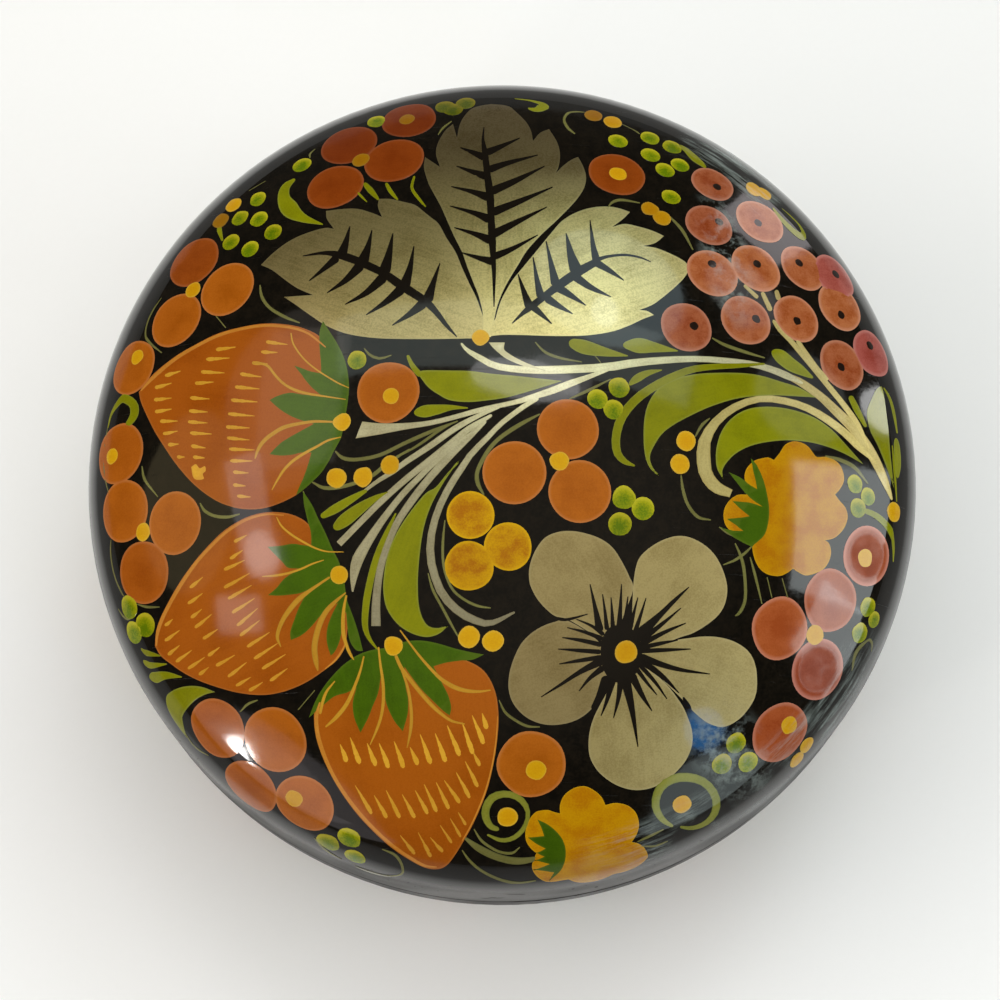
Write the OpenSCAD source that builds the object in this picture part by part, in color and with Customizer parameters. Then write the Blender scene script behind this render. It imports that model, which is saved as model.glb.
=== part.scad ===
// Round trinket box turned from wood: a bowl with a lip, and a domed lid that drops over the lip.
// The origin is at the middle of the foot, on the surface that the box stands on. +Z is up.

/* [Overall] */
// Outside diameter of the box and of its lid
outer_d = 120; // [96:1:150]
// Height of the body, from the table to the seam
body_h = 30; // [25:1:42]

/* [Lid] */
// Rise of the crown above the lid's upright wall
crown_rise = 28; // [22:1:36]
// Radius of the shoulder between the crown and the upright wall
shoulder_r = 12; // [9:0.5:16]
// Height of the lid's upright wall, from the seam to the shoulder
lid_wall_h = 12; // [10:0.5:20]
// Thickness of the lid's shell
lid_t = 5.5; // [4:0.5:7]
// Thickness of the lid's wall beside the lip
rim_t = 4.5; // [3.5:0.25:6]

/* [Body] */
// Height of the upright band between the seam and the belly
body_band_h = 4; // [3:0.5:8]
// Thickness of the floor above the recess under the box
floor_t = 5; // [4:0.5:8]
// Radius of the round corner between the bowl's floor and its wall
bowl_corner_r = 18; // [10:0.5:22]

/* [Lip] */
// Height of the lip above the seam
lip_h = 7; // [5:0.5:9]
// Thickness of the lip
lip_t = 3.5; // [2.5:0.25:5]
// Gap at the side between the lip and the lid
fit_gap = 0.25; // [0.15:0.05:0.5]
// Gap between the top of the lip and the lid
head_gap = 0.4; // [0.2:0.1:1]

/* [Foot] */
// Outside diameter of the foot ring
foot_d = 88; // [72:1:106]
// Height of the foot ring
foot_h = 3; // [2:0.5:5]
// Width of the ring that meets the table
foot_ring_w = 6; // [4:0.5:10]
// Depth of the turned recess inside the ring
foot_recess = 2; // [1:0.5:3]
// Ledge between the foot ring and the belly
foot_ledge = 2; // [1:0.5:4]

/* [Edges] */
// Rounding of the edges at the seam, the lip and the foot
edge_r = 0.8; // [0.4:0.1:1.2]

/* [Hidden] */
$fn = 128;
lacquer_black = [0.055, 0.048, 0.042];

outer_r = outer_d / 2;
foot_r = foot_d / 2;
seam_z = body_h;
shoulder_z = seam_z + lid_wall_h;
top_z = shoulder_z + crown_rise;
lip_z = seam_z + lip_h;
floor_z = foot_recess + floor_t;

// The lid's socket takes its size from the lid's wall, and the lip from the socket
socket_r = outer_r - rim_t;
lip_r = socket_r - fit_gap;
bowl_r = lip_r - lip_t;
socket_z = lip_z + head_gap;

// The crown is one arc on the axis that runs smoothly into the shoulder's arc
shoulder_c = [outer_r - shoulder_r, shoulder_z];
crown_r = (pow(shoulder_c.x, 2) + pow(crown_rise, 2) - pow(shoulder_r, 2)) / (2 * (crown_rise - shoulder_r));
crown_c = [0, top_z - crown_r];
crown_end = (shoulder_c - crown_c) / norm(shoulder_c - crown_c);

// The belly is one arc that leaves the upright band smoothly and ends at the foot's ledge
belly_z = seam_z - body_band_h;
base_r = foot_r + foot_ledge;
belly_in = outer_r - base_r;
belly_r = (pow(belly_in, 2) + pow(belly_z - foot_h, 2)) / (2 * belly_in);
belly_c = [outer_r - belly_r, belly_z];

// Any length that reaches past the whole profile, for cutting
past = outer_d;
// How far the lip's root runs down into the body's wall
lip_root = 2;

// The slice of a circle on the far side of the chord from p to q, away from the centre c
module bulge(c, r, p, q) {
  along = (q - p) / norm(q - p);
  side = [along.y, -along.x];
  out = side * sign(side * (p - c)) * 2 * r;
  intersection() {
    translate(c) circle(r);
    polygon([p, q, q + out, p + out]);
  }
}

// The rounding of a square corner, whose two sides run from it along a and b
module corner_round(corner, a, b) {
  bulge(corner + edge_r * (a + b), edge_r, corner + edge_r * a, corner + edge_r * b);
}

// The lid as if it were solid down to z = low, drawn inset by a wall's thickness t
module lid_dome(t, low) {
  top = [0, top_z - t];
  joint = crown_c + crown_end * (crown_r - t);
  side = [outer_r - t, shoulder_z];
  polygon([[0, low], [side.x, low], side, joint, top]);
  bulge(crown_c, crown_r - t, top, joint);
  bulge(shoulder_c, shoulder_r - t, joint, side);
}

// Turned lid: the domed shell, its socket for the lip and its rounded lower edge
module lid() {
  rim = [outer_r, seam_z];
  color(lacquer_black) rotate_extrude() {
    difference() {
      lid_dome(0, seam_z + edge_r);
      lid_dome(lid_t, seam_z - edge_r);
      translate([0, seam_z - edge_r]) square([socket_r, socket_z - seam_z + edge_r]);
    }
    polygon([[socket_r, seam_z], rim - [edge_r, 0], rim + [0, edge_r], [socket_r, seam_z + edge_r]]);
    corner_round(rim, [0, 1], [-1, 0]);
  }
}

// The body's outline: foot ring, ledge, belly, upright band and the seat that carries the lid
module body_outline() {
  foot = [foot_r, 0];
  seat = [outer_r, seam_z];
  belly_top = [outer_r, belly_z];
  belly_end = [base_r, foot_h];
  polygon([[0, 0], foot - [edge_r, 0], foot + [0, edge_r], [foot_r, foot_h], belly_end, belly_top,
           seat - [0, edge_r], seat - [edge_r, 0], [0, seam_z]]);
  corner_round(foot, [-1, 0], [0, 1]);
  bulge(belly_c, belly_r, belly_end, belly_top);
  corner_round(seat, [0, -1], [-1, 0]);
}

// The space inside the bowl, with its round corner, up past the seam
module bowl_space() {
  corner_c = [bowl_r - bowl_corner_r, floor_z + bowl_corner_r];
  floor_end = [corner_c.x, floor_z];
  wall_end = [bowl_r, corner_c.y];
  polygon([[0, floor_z], floor_end, wall_end, [bowl_r, past], [0, past]]);
  bulge(corner_c, bowl_corner_r, floor_end, wall_end);
}

// The lip stands on the body's wall inside the seat, with both top edges rounded
module lip() {
  inner = [bowl_r, lip_z];
  outer = [lip_r, lip_z];
  root = seam_z - lip_root;
  polygon([[bowl_r, root], [lip_r, root], outer - [0, edge_r], outer - [edge_r, 0],
           inner + [edge_r, 0], inner - [0, edge_r]]);
  corner_round(outer, [0, -1], [-1, 0]);
  corner_round(inner, [0, -1], [1, 0]);
}

// Turned body: bowl, lip and foot ring in one piece of wood
module body() {
  color(lacquer_black) rotate_extrude() {
    difference() {
      body_outline();
      bowl_space();
      square([foot_r - foot_ring_w, foot_recess]);
    }
    lip();
  }
}

body();
lid();
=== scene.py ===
from math import cos, pi, radians, sin, tan

import bpy
import numpy as np
from mathutils import Matrix, Quaternion, Vector


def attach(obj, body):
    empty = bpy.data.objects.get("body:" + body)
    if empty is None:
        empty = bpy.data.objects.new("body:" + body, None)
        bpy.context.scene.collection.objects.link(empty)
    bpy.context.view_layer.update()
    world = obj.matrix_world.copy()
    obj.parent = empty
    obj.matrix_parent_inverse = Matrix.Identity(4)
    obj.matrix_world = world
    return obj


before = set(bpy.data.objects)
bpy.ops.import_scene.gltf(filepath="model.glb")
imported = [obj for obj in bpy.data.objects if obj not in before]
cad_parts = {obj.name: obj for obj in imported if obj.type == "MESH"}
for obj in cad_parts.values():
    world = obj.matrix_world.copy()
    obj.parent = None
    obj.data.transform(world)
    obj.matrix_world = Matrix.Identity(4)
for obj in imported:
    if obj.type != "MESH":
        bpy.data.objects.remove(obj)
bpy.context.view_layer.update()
scene = bpy.context.scene
scene.view_settings.view_transform = "Standard"


# The body is one bowl turned from soft wood, with a lip for the lid, a seat round it and a foot ring.
# It is black outside and deep red inside, under several coats of clear lacquer rubbed to a high gloss.
# The turned shape comes from the CAD model as it is, and only its finish is made here.
def tint(red, green, blue):
    """A colour as read off a print, 0 to 255, turned into the linear value that the shader takes."""
    parts = [c / 255 for c in (red, green, blue)]
    return tuple(c / 12.92 if c <= 0.04045 else ((c + 0.055) / 1.055) ** 2.4 for c in parts) + (1.0,)


def add(tree, kind, inputs, **settings):
    """Adds one node, sets its choices, and links or sets its inputs; returns its outputs."""
    node = tree.nodes.new("ShaderNode" + kind)
    for key, value in settings.items():
        setattr(node, key, value)
    for key, value in inputs.items():
        if isinstance(value, bpy.types.NodeSocket):
            tree.links.new(value, node.inputs[key])
        else:
            node.inputs[key].default_value = value
    return node.outputs


def mixed(tree, share, one, other):
    """One colour that turns into the other as the share goes from 0 to 1."""
    return add(tree, "Mix", {0: share, 6: one, 7: other}, data_type="RGBA")[2]


def counted(tree, way, one, other=0.0, clamp=False):
    """One step of arithmetic on values over the surface."""
    return add(tree, "Math", {0: one, 1: other}, operation=way, use_clamp=clamp)[0]


def times(tree, one, other):
    return counted(tree, "MULTIPLY", one, other)


def plus(tree, one, other):
    return counted(tree, "ADD", one, other)


def ranged(tree, value, low, high, to_low=0.0, to_high=1.0):
    """A value eased from to_low to to_high as it goes from low to high."""
    ends = {0: value, 1: low, 2: high, 3: to_low, 4: to_high}
    return add(tree, "MapRange", ends, interpolation_type="SMOOTHSTEP")[0]


def noise(tree, at, scale, detail, harsh=0.5):
    """Soft clouds from 0 to 1, with so much fine detail in them."""
    return add(tree, "TexNoise", {"Vector": at, "Scale": scale, "Detail": detail, "Roughness": harsh})[0]


def length_of(tree, arrow):
    return add(tree, "VectorMath", {0: arrow}, operation="LENGTH")["Value"]


def new_group(name, inputs, outputs):
    """A node group whose inputs and outputs are listed by kind; returns it with both its ends."""
    tree = bpy.data.node_groups.new(name, "ShaderNodeTree")
    for end, sockets in (("INPUT", inputs), ("OUTPUT", outputs)):
        for kind, labels in sockets.items():
            for label in labels:
                tree.interface.new_socket(label, in_out=end, socket_type="NodeSocket" + kind)
    return tree, tree.nodes.new("NodeGroupInput").outputs, tree.nodes.new("NodeGroupOutput").inputs


# Lacquer rubbed down by hand is never quite flat, and gathers fine scratches and dust.
lacquer, _, lacquer_out = new_group(
    "lacquer_skin", {}, {"Vector": ["Normal"], "Float": ["Roughness", "Mottle", "Specks", "Scuff And Haze"]})
place = add(lacquer, "TexCoord", {})["Object"]
slow = noise(lacquer, place, 75.0, 1.0)
peel = noise(lacquer, place, 620.0, 2.0)
grain = noise(lacquer, place, 2600.0, 3.0)
scratches = 0.0
for turn, cut in ((0.5, 0.73), (2.1, 0.74), (1.2, 0.75)):
    drawn_out = {"Vector": place, "Rotation": (0.0, 0.0, turn), "Scale": (90.0, 5200.0, 260.0)}
    scratch = noise(lacquer, add(lacquer, "Mapping", drawn_out)[0], 1.0, 1.0)
    scratches = counted(lacquer, "MAXIMUM", scratches, ranged(lacquer, scratch, cut, cut + 0.05))
dust = add(lacquer, "TexVoronoi", {"Vector": place, "Scale": 420.0}, feature="F1")
lone = ranged(lacquer, add(lacquer, "SeparateColor", {0: dust["Color"]})[0], 0.93, 0.95)
specks = times(lacquer, ranged(lacquer, dust["Distance"], 0.05, 0.025), lone)
height = plus(lacquer, slow, times(lacquer, peel, 0.17))
height = plus(lacquer, height, times(lacquer, specks, 0.35))
bump = add(lacquer, "Bump", {"Strength": 1.0, "Distance": 0.000022, "Height": height})[0]
rough = plus(lacquer, ranged(lacquer, grain, 0.3, 0.75, 0.045, 0.085), times(lacquer, scratches, 0.22))
mottle = ranged(lacquer, plus(lacquer, times(lacquer, peel, 0.5), times(lacquer, grain, 0.5)), 0.36, 0.66)

# Hands have dragged over the lid's shoulder at the right, and the gloss is scuffed there in streaks round it.
# The streaks also mark where a pale painted haze of reflected light is mixed into the colour.
apart = add(lacquer, "SeparateXYZ", {0: place})
angle = counted(lacquer, "ARCTAN2", apart["Y"], apart["X"])
reach = length_of(lacquer, add(lacquer, "CombineXYZ", {0: apart["X"], 1: apart["Y"]})[0])
down = counted(lacquer, "SUBTRACT", reach, apart["Z"])
round_lid = add(lacquer, "CombineXYZ", {0: times(lacquer, angle, 6.0), 1: times(lacquer, down, 650.0)})[0]
dragged = ranged(lacquer, noise(lacquer, round_lid, 1.0, 6.0, 0.7), 0.42, 0.68)
broken = ranged(lacquer, noise(lacquer, place, 130.0, 4.0), 0.38, 0.58)
front_stretch = (-1.42, -1.22, -0.62, -0.35, 0.0535, 0.0562)
back_stretch = (0.62, 0.8, 1.0, 1.14, 0.0505, 0.054)
zone = 0.0
for start, full, fade, end, inner, outer in (front_stretch, back_stretch):
    stretch = times(lacquer, ranged(lacquer, angle, start, full), ranged(lacquer, angle, end, fade))
    zone = plus(lacquer, zone, times(lacquer, stretch, ranged(lacquer, reach, inner, outer)))
scuff_and_haze = times(lacquer, times(lacquer, dragged, broken), zone)

# A rubbed smear goes down over the rowan berries, and a dull patch lies beside the flower.
# Both also take the same pale painted haze of reflected light.
rowan_smear_and_haze = ((0.0318, 0.028, 0.0), 0.15, (0.0046, 0.0145, 1.0))
flower_patch_and_haze = ((0.0315, -0.0415, 0.0), 0.7, (0.0065, 0.0095, 1.0))
for middle, turn, spread in (rowan_smear_and_haze, flower_patch_and_haze):
    laid = {"Vector": place, "Location": middle, "Rotation": (0.0, 0.0, turn), "Scale": spread}
    off_middle = length_of(lacquer, add(lacquer, "Mapping", laid, vector_type="TEXTURE")[0])
    rubbed = ranged(lacquer, noise(lacquer, place, 360.0, 5.0, 0.65), 0.44, 0.64, 0.0, 0.8)
    smear = times(lacquer, ranged(lacquer, off_middle, 1.0, 0.3), rubbed)
    scuff_and_haze = counted(lacquer, "MAXIMUM", scuff_and_haze, smear)
scuff_and_haze = times(lacquer, scuff_and_haze, ranged(lacquer, apart["Z"], 0.043, 0.0475))

# Fingers have rubbed the straight wall on both sides of the seam to a duller, smudged gloss.
below = ranged(lacquer, apart["Z"], 0.047, 0.041)
above = ranged(lacquer, apart["Z"], 0.018, 0.026)
handled = times(lacquer, times(lacquer, below, above), ranged(lacquer, slow, 0.3, 0.7, 0.3, 0.5))
rough = plus(lacquer, plus(lacquer, rough, handled), times(lacquer, scuff_and_haze, 0.2))
skin_values = {"Normal": bump, "Roughness": rough, "Mottle": mottle, "Specks": specks, "Scuff And Haze": scuff_and_haze}
for label, value in skin_values.items():
    lacquer.links.new(value, lacquer_out[label])


def new_finish(name, *groups):
    """A new material, with its node tree, its shader and the node groups that are placed in it."""
    made = bpy.data.materials.new(name)
    made.use_nodes = True
    placed = []
    for group in groups:
        placed.append(made.node_tree.nodes.new("ShaderNodeGroup"))
        placed[-1].node_tree = group
    shader = made.node_tree.nodes["Principled BSDF"]
    shader.inputs["IOR"].default_value = 1.5
    return made, made.node_tree, shader, placed


seam_height = 0.030


def lacquered(name, middle_height):
    """Black lacquer on what faces away from the piece's middle and deep red on what faces it."""
    made, tree, shader, (skin,) = new_finish(name, lacquer)
    where = add(tree, "TexCoord", {})
    middle = (0.0, 0.0, middle_height)
    from_middle = add(tree, "VectorMath", {0: where["Object"], 1: middle}, operation="SUBTRACT")[0]
    facing = add(tree, "VectorMath", {0: from_middle, 1: where["Normal"]}, operation="DOT_PRODUCT")["Value"]
    outside = ranged(tree, facing, -0.0002, 0.0002)
    black = mixed(tree, skin.outputs["Mottle"], tint(9, 7, 4), tint(22, 17, 10))
    black = mixed(tree, skin.outputs["Specks"], black, tint(58, 52, 40))
    # Where the lacquer is scuffed, a pale painted haze of reflected light is mixed into the black.
    black = mixed(tree, times(tree, skin.outputs["Scuff And Haze"], 0.6), black, tint(160, 172, 166))
    slow_red = noise(tree, where["Object"], 140.0, 4.0)
    red = mixed(tree, ranged(tree, slow_red, 0.3, 0.7), tint(128, 22, 13), tint(152, 33, 18))
    red = mixed(tree, times(tree, skin.outputs["Mottle"], 0.35), red, tint(104, 15, 10))
    colour = mixed(tree, outside, red, black)
    # The edges at the seam have rubbed through to the brown ground coat here and there.
    off_seam = counted(tree, "SUBTRACT", add(tree, "SeparateXYZ", {0: where["Object"]})["Z"], seam_height)
    near = ranged(tree, counted(tree, "ABSOLUTE", off_seam), 0.0008, 0.0003)
    worn = times(tree, near, ranged(tree, noise(tree, where["Object"], 260.0, 5.0), 0.6, 0.72))
    colour = mixed(tree, times(tree, worn, outside), colour, tint(72, 46, 27))
    tree.links.new(colour, shader.inputs["Base Color"])
    tree.links.new(skin.outputs["Roughness"], shader.inputs["Roughness"])
    tree.links.new(skin.outputs["Normal"], shader.inputs["Normal"])
    return made


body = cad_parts["body"]
body.data.materials.clear()
body.data.materials.append(lacquered("black_and_red_lacquer_body", 0.028))


# The lid is turned from one piece too, domed over a round shoulder, hollow and rebated round its lower edge
# so that it drops over the lip. It has the same black and red lacquer, and carries the painting.
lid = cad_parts["lid"]
lid.data.materials.clear()
lid.data.materials.append(lacquered("black_and_red_lacquer_lid", 0.034))


# Three lobed leaves in metal powder stand together above the middle of the lid. The powder is dusted on size,
# and the yellow lacquer over it turns it gold. Each leaf is one thin film, cut to its outline and laid on the
# dome. Places on the lid are given as they are seen in the photograph, in its own pixels.
crown_radius, crown_centre = 0.092, -0.022
shoulder_radius, shoulder_reach, shoulder_height = 0.012, 0.048, 0.042
photo_size = 1000.0
photo_tilt = radians(13.5)
photo_middle = np.array([502.2, 479.0])
photo_reach = 2889.0
rim_middle, rim_reach = np.array([503.0, 495.5]), np.array([411.5, 408.5])
steep_from, steep_share = 0.95, 0.45
lens_distance = 0.42
lens_back = np.array([0.0, -sin(photo_tilt), cos(photo_tilt)])
lens_up = np.array([0.0, cos(photo_tilt), sin(photo_tilt)])
lens_place = np.array([0.0, 0.0, shoulder_height]) + lens_distance * lens_back
chance = np.random.default_rng(11)


def turned_skin(points, centre_r, centre_z, radius):
    """How far points stand off a turned outside, and which way it faces there."""
    r = np.maximum(np.hypot(points[:, 0], points[:, 1]), 1e-9)
    dr, dz = r - centre_r, points[:, 2] - centre_z
    reach = np.hypot(dr, dz)
    facing = np.stack([points[:, 0] / r * dr, points[:, 1] / r * dr, dz], 1) / reach[:, None]
    return reach - radius, facing


def lid_skin(points):
    """The lid's outside: a wide round crown, a small round shoulder and a straight wall under it."""
    r, z = np.hypot(points[:, 0], points[:, 1]), points[:, 2]
    crown = r < shoulder_reach / (shoulder_height - crown_centre) * (z - crown_centre)
    centre_z = np.where(crown, crown_centre, np.minimum(z, shoulder_height))
    radius = np.where(crown, crown_radius, shoulder_radius)
    return turned_skin(points, np.where(crown, 0.0, shoulder_reach), centre_z, radius)


def on_lid(spots):
    """The places on the lid that are seen at these spots of the photograph.
    A spot by the steep rim, or past it, is drawn in."""
    from_rim = np.array(spots, float) - rim_middle
    out = np.linalg.norm(from_rim / rim_reach, axis=1)
    drawn_in = np.where(out > steep_from, steep_from + steep_share * (out - steep_from), out)
    spots = rim_middle + from_rim * (drawn_in / np.maximum(out, 1e-9))[:, None]
    for _ in range(60):
        off = (spots - photo_middle) / photo_reach
        ray = off[:, :1] * np.array([1.0, 0.0, 0.0]) - off[:, 1:] * lens_up - lens_back
        ray /= np.linalg.norm(ray, axis=1)[:, None]
        along = np.full(len(spots), 0.3)
        for _ in range(70):
            gap, facing = lid_skin(lens_place + ray * along[:, None])
            along += np.minimum(gap, 0.1)
        missed = gap > 4e-6
        if not missed.any():
            break
        spots[missed] = photo_middle + (spots[missed] - photo_middle) * 0.997
    return lens_place + ray * along[:, None], facing


def flowing(points, per):
    """A flowing line through the points, with so many short steps between each two."""
    p = np.array(points, float)
    ends = np.vstack([2 * p[0] - p[1], p, 2 * p[-1] - p[-2]])
    t = (np.arange(per) / per)[:, None]
    steps = []
    for i in range(len(p) - 1):
        a, b, c, d = ends[i:i + 4]
        bend = (2 * a - 5 * b + 4 * c - d) * t ** 2 + (3 * b - a - 3 * c + d) * t ** 3
        steps.append(0.5 * (2 * b + (c - a) * t + bend))
    return np.vstack(steps + [p[-1:]])


def marked(film, brush, tone):
    """Keeps on a film's points how the brush went: along, across and how near the edge, and the film's own
    tone, 0 the darkest, or several tones from its root to its far end; some set tones are painted shade."""
    brush = np.asarray(brush, np.float32)
    tones = np.atleast_1d(0.66 + 0.34 * chance.random() if tone is None else tone)
    own = np.interp(brush[:, 0], np.linspace(0, brush[:, 0].max(), len(tones)), tones).astype(np.float32)
    film.data.attributes.new("brush", "FLOAT_VECTOR", "POINT").data.foreach_set("vector", brush.ravel())
    film.data.attributes.new("tone", "FLOAT", "POINT").data.foreach_set("value", own)
    return film


def lay(film, points, facing, lift):
    """Lays a film's points off the surface, a little more on the steep shoulder, where facets are longer."""
    raised = points + facing * (lift + 30e-6 * (1 - np.abs(facing[:, 2])))[:, None]
    film.data.vertices.foreach_set("co", raised.astype(np.float32).ravel())


def filled(runs, lift, tip=None, step=8.0, edge=1.3, soft=9.0, tone=None):
    """A painted shape: its outline in runs that meet in corners, filled, cut into strips and laid on the lid.
    It is shaped flat at a hundredth of the photograph's pixels, and tip gives its root and its far end."""
    scale = 100.0
    closed = [run + [runs[(i + 1) % len(runs)][0]] for i, run in enumerate(runs)]
    rim = np.vstack([flowing(run, 5)[:-1] for run in closed])
    turn = np.sum(rim[:, 0] * np.roll(rim[:, 1], -1) - rim[:, 1] * np.roll(rim[:, 0], -1))
    rim = rim[::-1] if turn > 0 else rim
    bpy.ops.object.select_all(action="DESELECT")
    bpy.ops.mesh.primitive_circle_add(vertices=len(rim), radius=1.0, fill_type="NGON", calc_uvs=False)
    film = bpy.context.object
    for point, (x, y) in zip(film.data.vertices, rim):
        point.co = (x / scale, -y / scale, 0.0)
    bpy.ops.object.mode_set(mode="EDIT")
    bpy.ops.mesh.select_all(action="SELECT")
    bpy.ops.mesh.inset(thickness=edge / scale)
    bpy.ops.transform.translate(value=(0.0, 0.0, 1.0))
    low, high = rim.min(0), rim.max(0)
    for axis, way in enumerate((Vector((1.0, 0.0, 0.0)), Vector((0.0, -1.0, 0.0)))):
        for cut in np.arange(low[axis] + step * 0.47, high[axis], step):
            bpy.ops.mesh.select_all(action="SELECT")
            bpy.ops.mesh.bisect(plane_co=way * float(cut / scale), plane_no=way)
    bpy.ops.object.mode_set(mode="OBJECT")
    co = np.array([p.co for p in film.data.vertices])
    spots = np.stack([co[:, 0], -co[:, 1]], 1) * scale
    side = np.roll(rim, -1, 0) - rim
    from_rim = spots[:, None] - rim
    share = np.clip((from_rim * side).sum(2) / np.maximum((side * side).sum(1), 1e-9), 0, 1)
    inward = np.linalg.norm(from_rim - share[..., None] * side, axis=2).min(1)
    root, end = np.array(tip if tip else (low, (high[0], low[1])), float)
    way = (end - root) / max(np.linalg.norm(end - root), 1e-9)
    along, across = (spots - root) @ way, (spots - root) @ np.array([-way[1], way[0]])
    lay(film, *on_lid(spots), lift * (0.5 + 0.5 * co[:, 2]))
    return marked(film, np.stack([along, across, np.clip(1 - inward / soft, 0, 1)], 1), tone)


def finished(name, films, thick, colour, carrier="lid", skin=lid_skin):
    """Joins the films of one paint into a piece, thickens it down into the lacquer, and lets it ride."""
    bpy.ops.object.select_all(action="DESELECT")
    for film in films:
        film.select_set(True)
    bpy.context.view_layer.objects.active = films[0]
    bpy.ops.object.join()
    piece = bpy.context.object
    piece.name = piece.data.name = name
    coat = piece.modifiers.new("coat", "SOLIDIFY")
    coat.thickness = thick
    coat.offset = -1.0
    bpy.ops.object.modifier_apply(modifier="coat")
    bpy.ops.object.shade_smooth_by_angle(angle=radians(45))
    # The clear lacquer over the paint levels its edges, so the films shine as the turned surface does.
    facing = skin(np.array([p.co for p in piece.data.vertices]))[1]
    piece.data.normals_split_custom_set_from_vertices(facing)
    piece.data.materials.clear()
    piece.data.materials.append(colour)
    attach(piece, carrier)


# Paint is smooth under its lacquer: it clouds where it is thicker, streaks faintly along the brush, and is
# deeper in the middle of a dab and lighter at its rim.
brushwork, brush_in, brush_out = new_group(
    "brushwork",
    {"Color": ["Middle", "Rim", "Deep"], "Vector": ["Normal"],
     "Float": ["Rim Start", "Core", "Cloud", "Cloud Scale", "Streaks", "Grain", "Roughness", "Dull"]},
    {"Color": ["Color"], "Float": ["Roughness"], "Vector": ["Normal"]})
held = add(brushwork, "SeparateXYZ", {0: add(brushwork, "Attribute", {}, attribute_name="brush")["Vector"]})
own = add(brushwork, "Attribute", {}, attribute_name="tone")["Fac"]
hairs = add(brushwork, "CombineXYZ", {
    0: times(brushwork, held[0], 0.03), 1: times(brushwork, held[1], 0.4), 2: times(brushwork, own, 60.0)})[0]
streak = noise(brushwork, hairs, 0.8, 3.0)
spot_at = add(brushwork, "TexCoord", {})["Object"]
cloud = noise(brushwork, spot_at, brush_in["Cloud Scale"], 4.0)
fine = noise(brushwork, spot_at, 4200.0, 2.0)
uneven = times(brushwork, ranged(brushwork, streak, 0.35, 0.7), brush_in["Streaks"])
clouded = times(brushwork, ranged(brushwork, cloud, 0.38, 0.68), brush_in["Cloud"])
cored = times(brushwork, ranged(brushwork, held[2], 0.95, 0.1), brush_in["Core"])
grained = times(brushwork, ranged(brushwork, fine, 0.36, 0.66, -1.0, 1.1), brush_in["Grain"])
uneven = plus(brushwork, plus(brushwork, uneven, clouded), cored)
uneven = counted(brushwork, "ADD", uneven, grained, clamp=True)
shade = mixed(brushwork, uneven, brush_in["Middle"], brush_in["Deep"])
shade = mixed(brushwork, ranged(brushwork, held[2], brush_in["Rim Start"], 1.0), shade, brush_in["Rim"])
bright = add(brushwork, "HueSaturation", {
    "Hue": ranged(brushwork, own, 0.0, 1.0, 0.484, 0.502), "Saturation": 1.0,
    "Value": ranged(brushwork, own, 0.0, 1.0, 0.45, 1.05), "Color": shade})[0]
relief = plus(brushwork, times(brushwork, streak, 0.5), times(brushwork, fine, 0.25))
brushed = add(brushwork, "Bump", {
    "Strength": 1.0, "Distance": 0.000003, "Height": relief, "Normal": brush_in["Normal"]})[0]
gloss = plus(brushwork, brush_in["Roughness"], ranged(brushwork, fine, 0.3, 0.75, -0.015, 0.04))
rubbed_off = times(
    brushwork, ranged(brushwork, held[2], 0.82, 0.6), ranged(brushwork, cloud, 0.3, 0.6, 0.5, 1.0))
gloss = plus(brushwork, gloss, times(brushwork, rubbed_off, brush_in["Dull"]))
for label, value in (("Color", bright), ("Roughness", gloss), ("Normal", brushed)):
    brushwork.links.new(value, brush_out[label])


def paint(name, middle, rim, deep, rim_start=0.7, core=0.0, cloud=0.4, cloud_scale=300.0, streaks=0.1,
          grain=0.17, rough=0.075, metal=0.0, coat=1.0, dull=0.0):
    """A paint under its lacquer, with its colour in the middle, at the rim and where it lies deeper."""
    made, tree, shader, (skin, work) = new_finish(name, lacquer, brushwork)
    values = {
        "Middle": tint(*middle), "Rim": tint(*rim), "Deep": tint(*deep), "Rim Start": rim_start, "Core": core,
        "Cloud": cloud, "Cloud Scale": cloud_scale, "Streaks": streaks, "Grain": grain, "Roughness": rough,
        "Dull": dull}
    for label, value in values.items():
        work.inputs[label].default_value = value
    tree.links.new(skin.outputs["Normal"], work.inputs["Normal"])
    # Where the lacquer is scuffed, a pale painted haze of reflected light is mixed into the paint.
    scuffed = times(tree, skin.outputs["Scuff And Haze"], 0.45)
    colour = mixed(tree, scuffed, work.outputs["Color"], tint(178, 172, 166))
    tree.links.new(colour, shader.inputs["Base Color"])
    gloss = plus(tree, work.outputs["Roughness"], times(tree, skin.outputs["Scuff And Haze"], 0.2))
    tree.links.new(gloss, shader.inputs["Roughness"])
    tree.links.new(work.outputs["Normal"], shader.inputs["Normal"])
    shader.inputs["Metallic"].default_value = metal
    if metal:
        shader.inputs["Coat Weight"].default_value = coat
        shader.inputs["Coat Roughness"].default_value = 0.06
        shader.inputs["Coat IOR"].default_value = 1.5
    return made


gold = paint("gold_powder", (229, 209, 140), (224, 205, 140), (181, 160, 94), cloud=0.45, cloud_scale=200.0,
             streaks=0.3, grain=0.24, rough=0.36, metal=0.95)
leaf_top = [
    [(491, 100), (478, 104), (467, 113), (460, 124)], [(457, 138)],
    [(453, 124), (445, 131), (438, 143), (436, 154)], [(440, 167)],
    [(425, 157), (424, 168), (428, 182), (431.8, 190), (440.3, 205.5), (448, 222.5), (453.5, 235),
     (462, 252), (467, 266), (473, 281.5), (479, 297), (483, 316)],
    [(482, 338)],
    [(491, 337), (494.5, 318), (497, 307), (500, 298), (504.5, 288), (510, 278), (518, 265), (527, 250.5),
     (541, 235), (556, 221), (568, 209), (577, 199), (584, 188), (586, 177), (583, 166)],
    [(578, 157), (571, 160), (563, 166)], [(556, 173), (559, 165), (560, 154), (557, 142)],
    [(549, 129), (540, 133)], [(533, 141), (531, 131), (526, 122), (516, 112), (505, 103)]]
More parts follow.
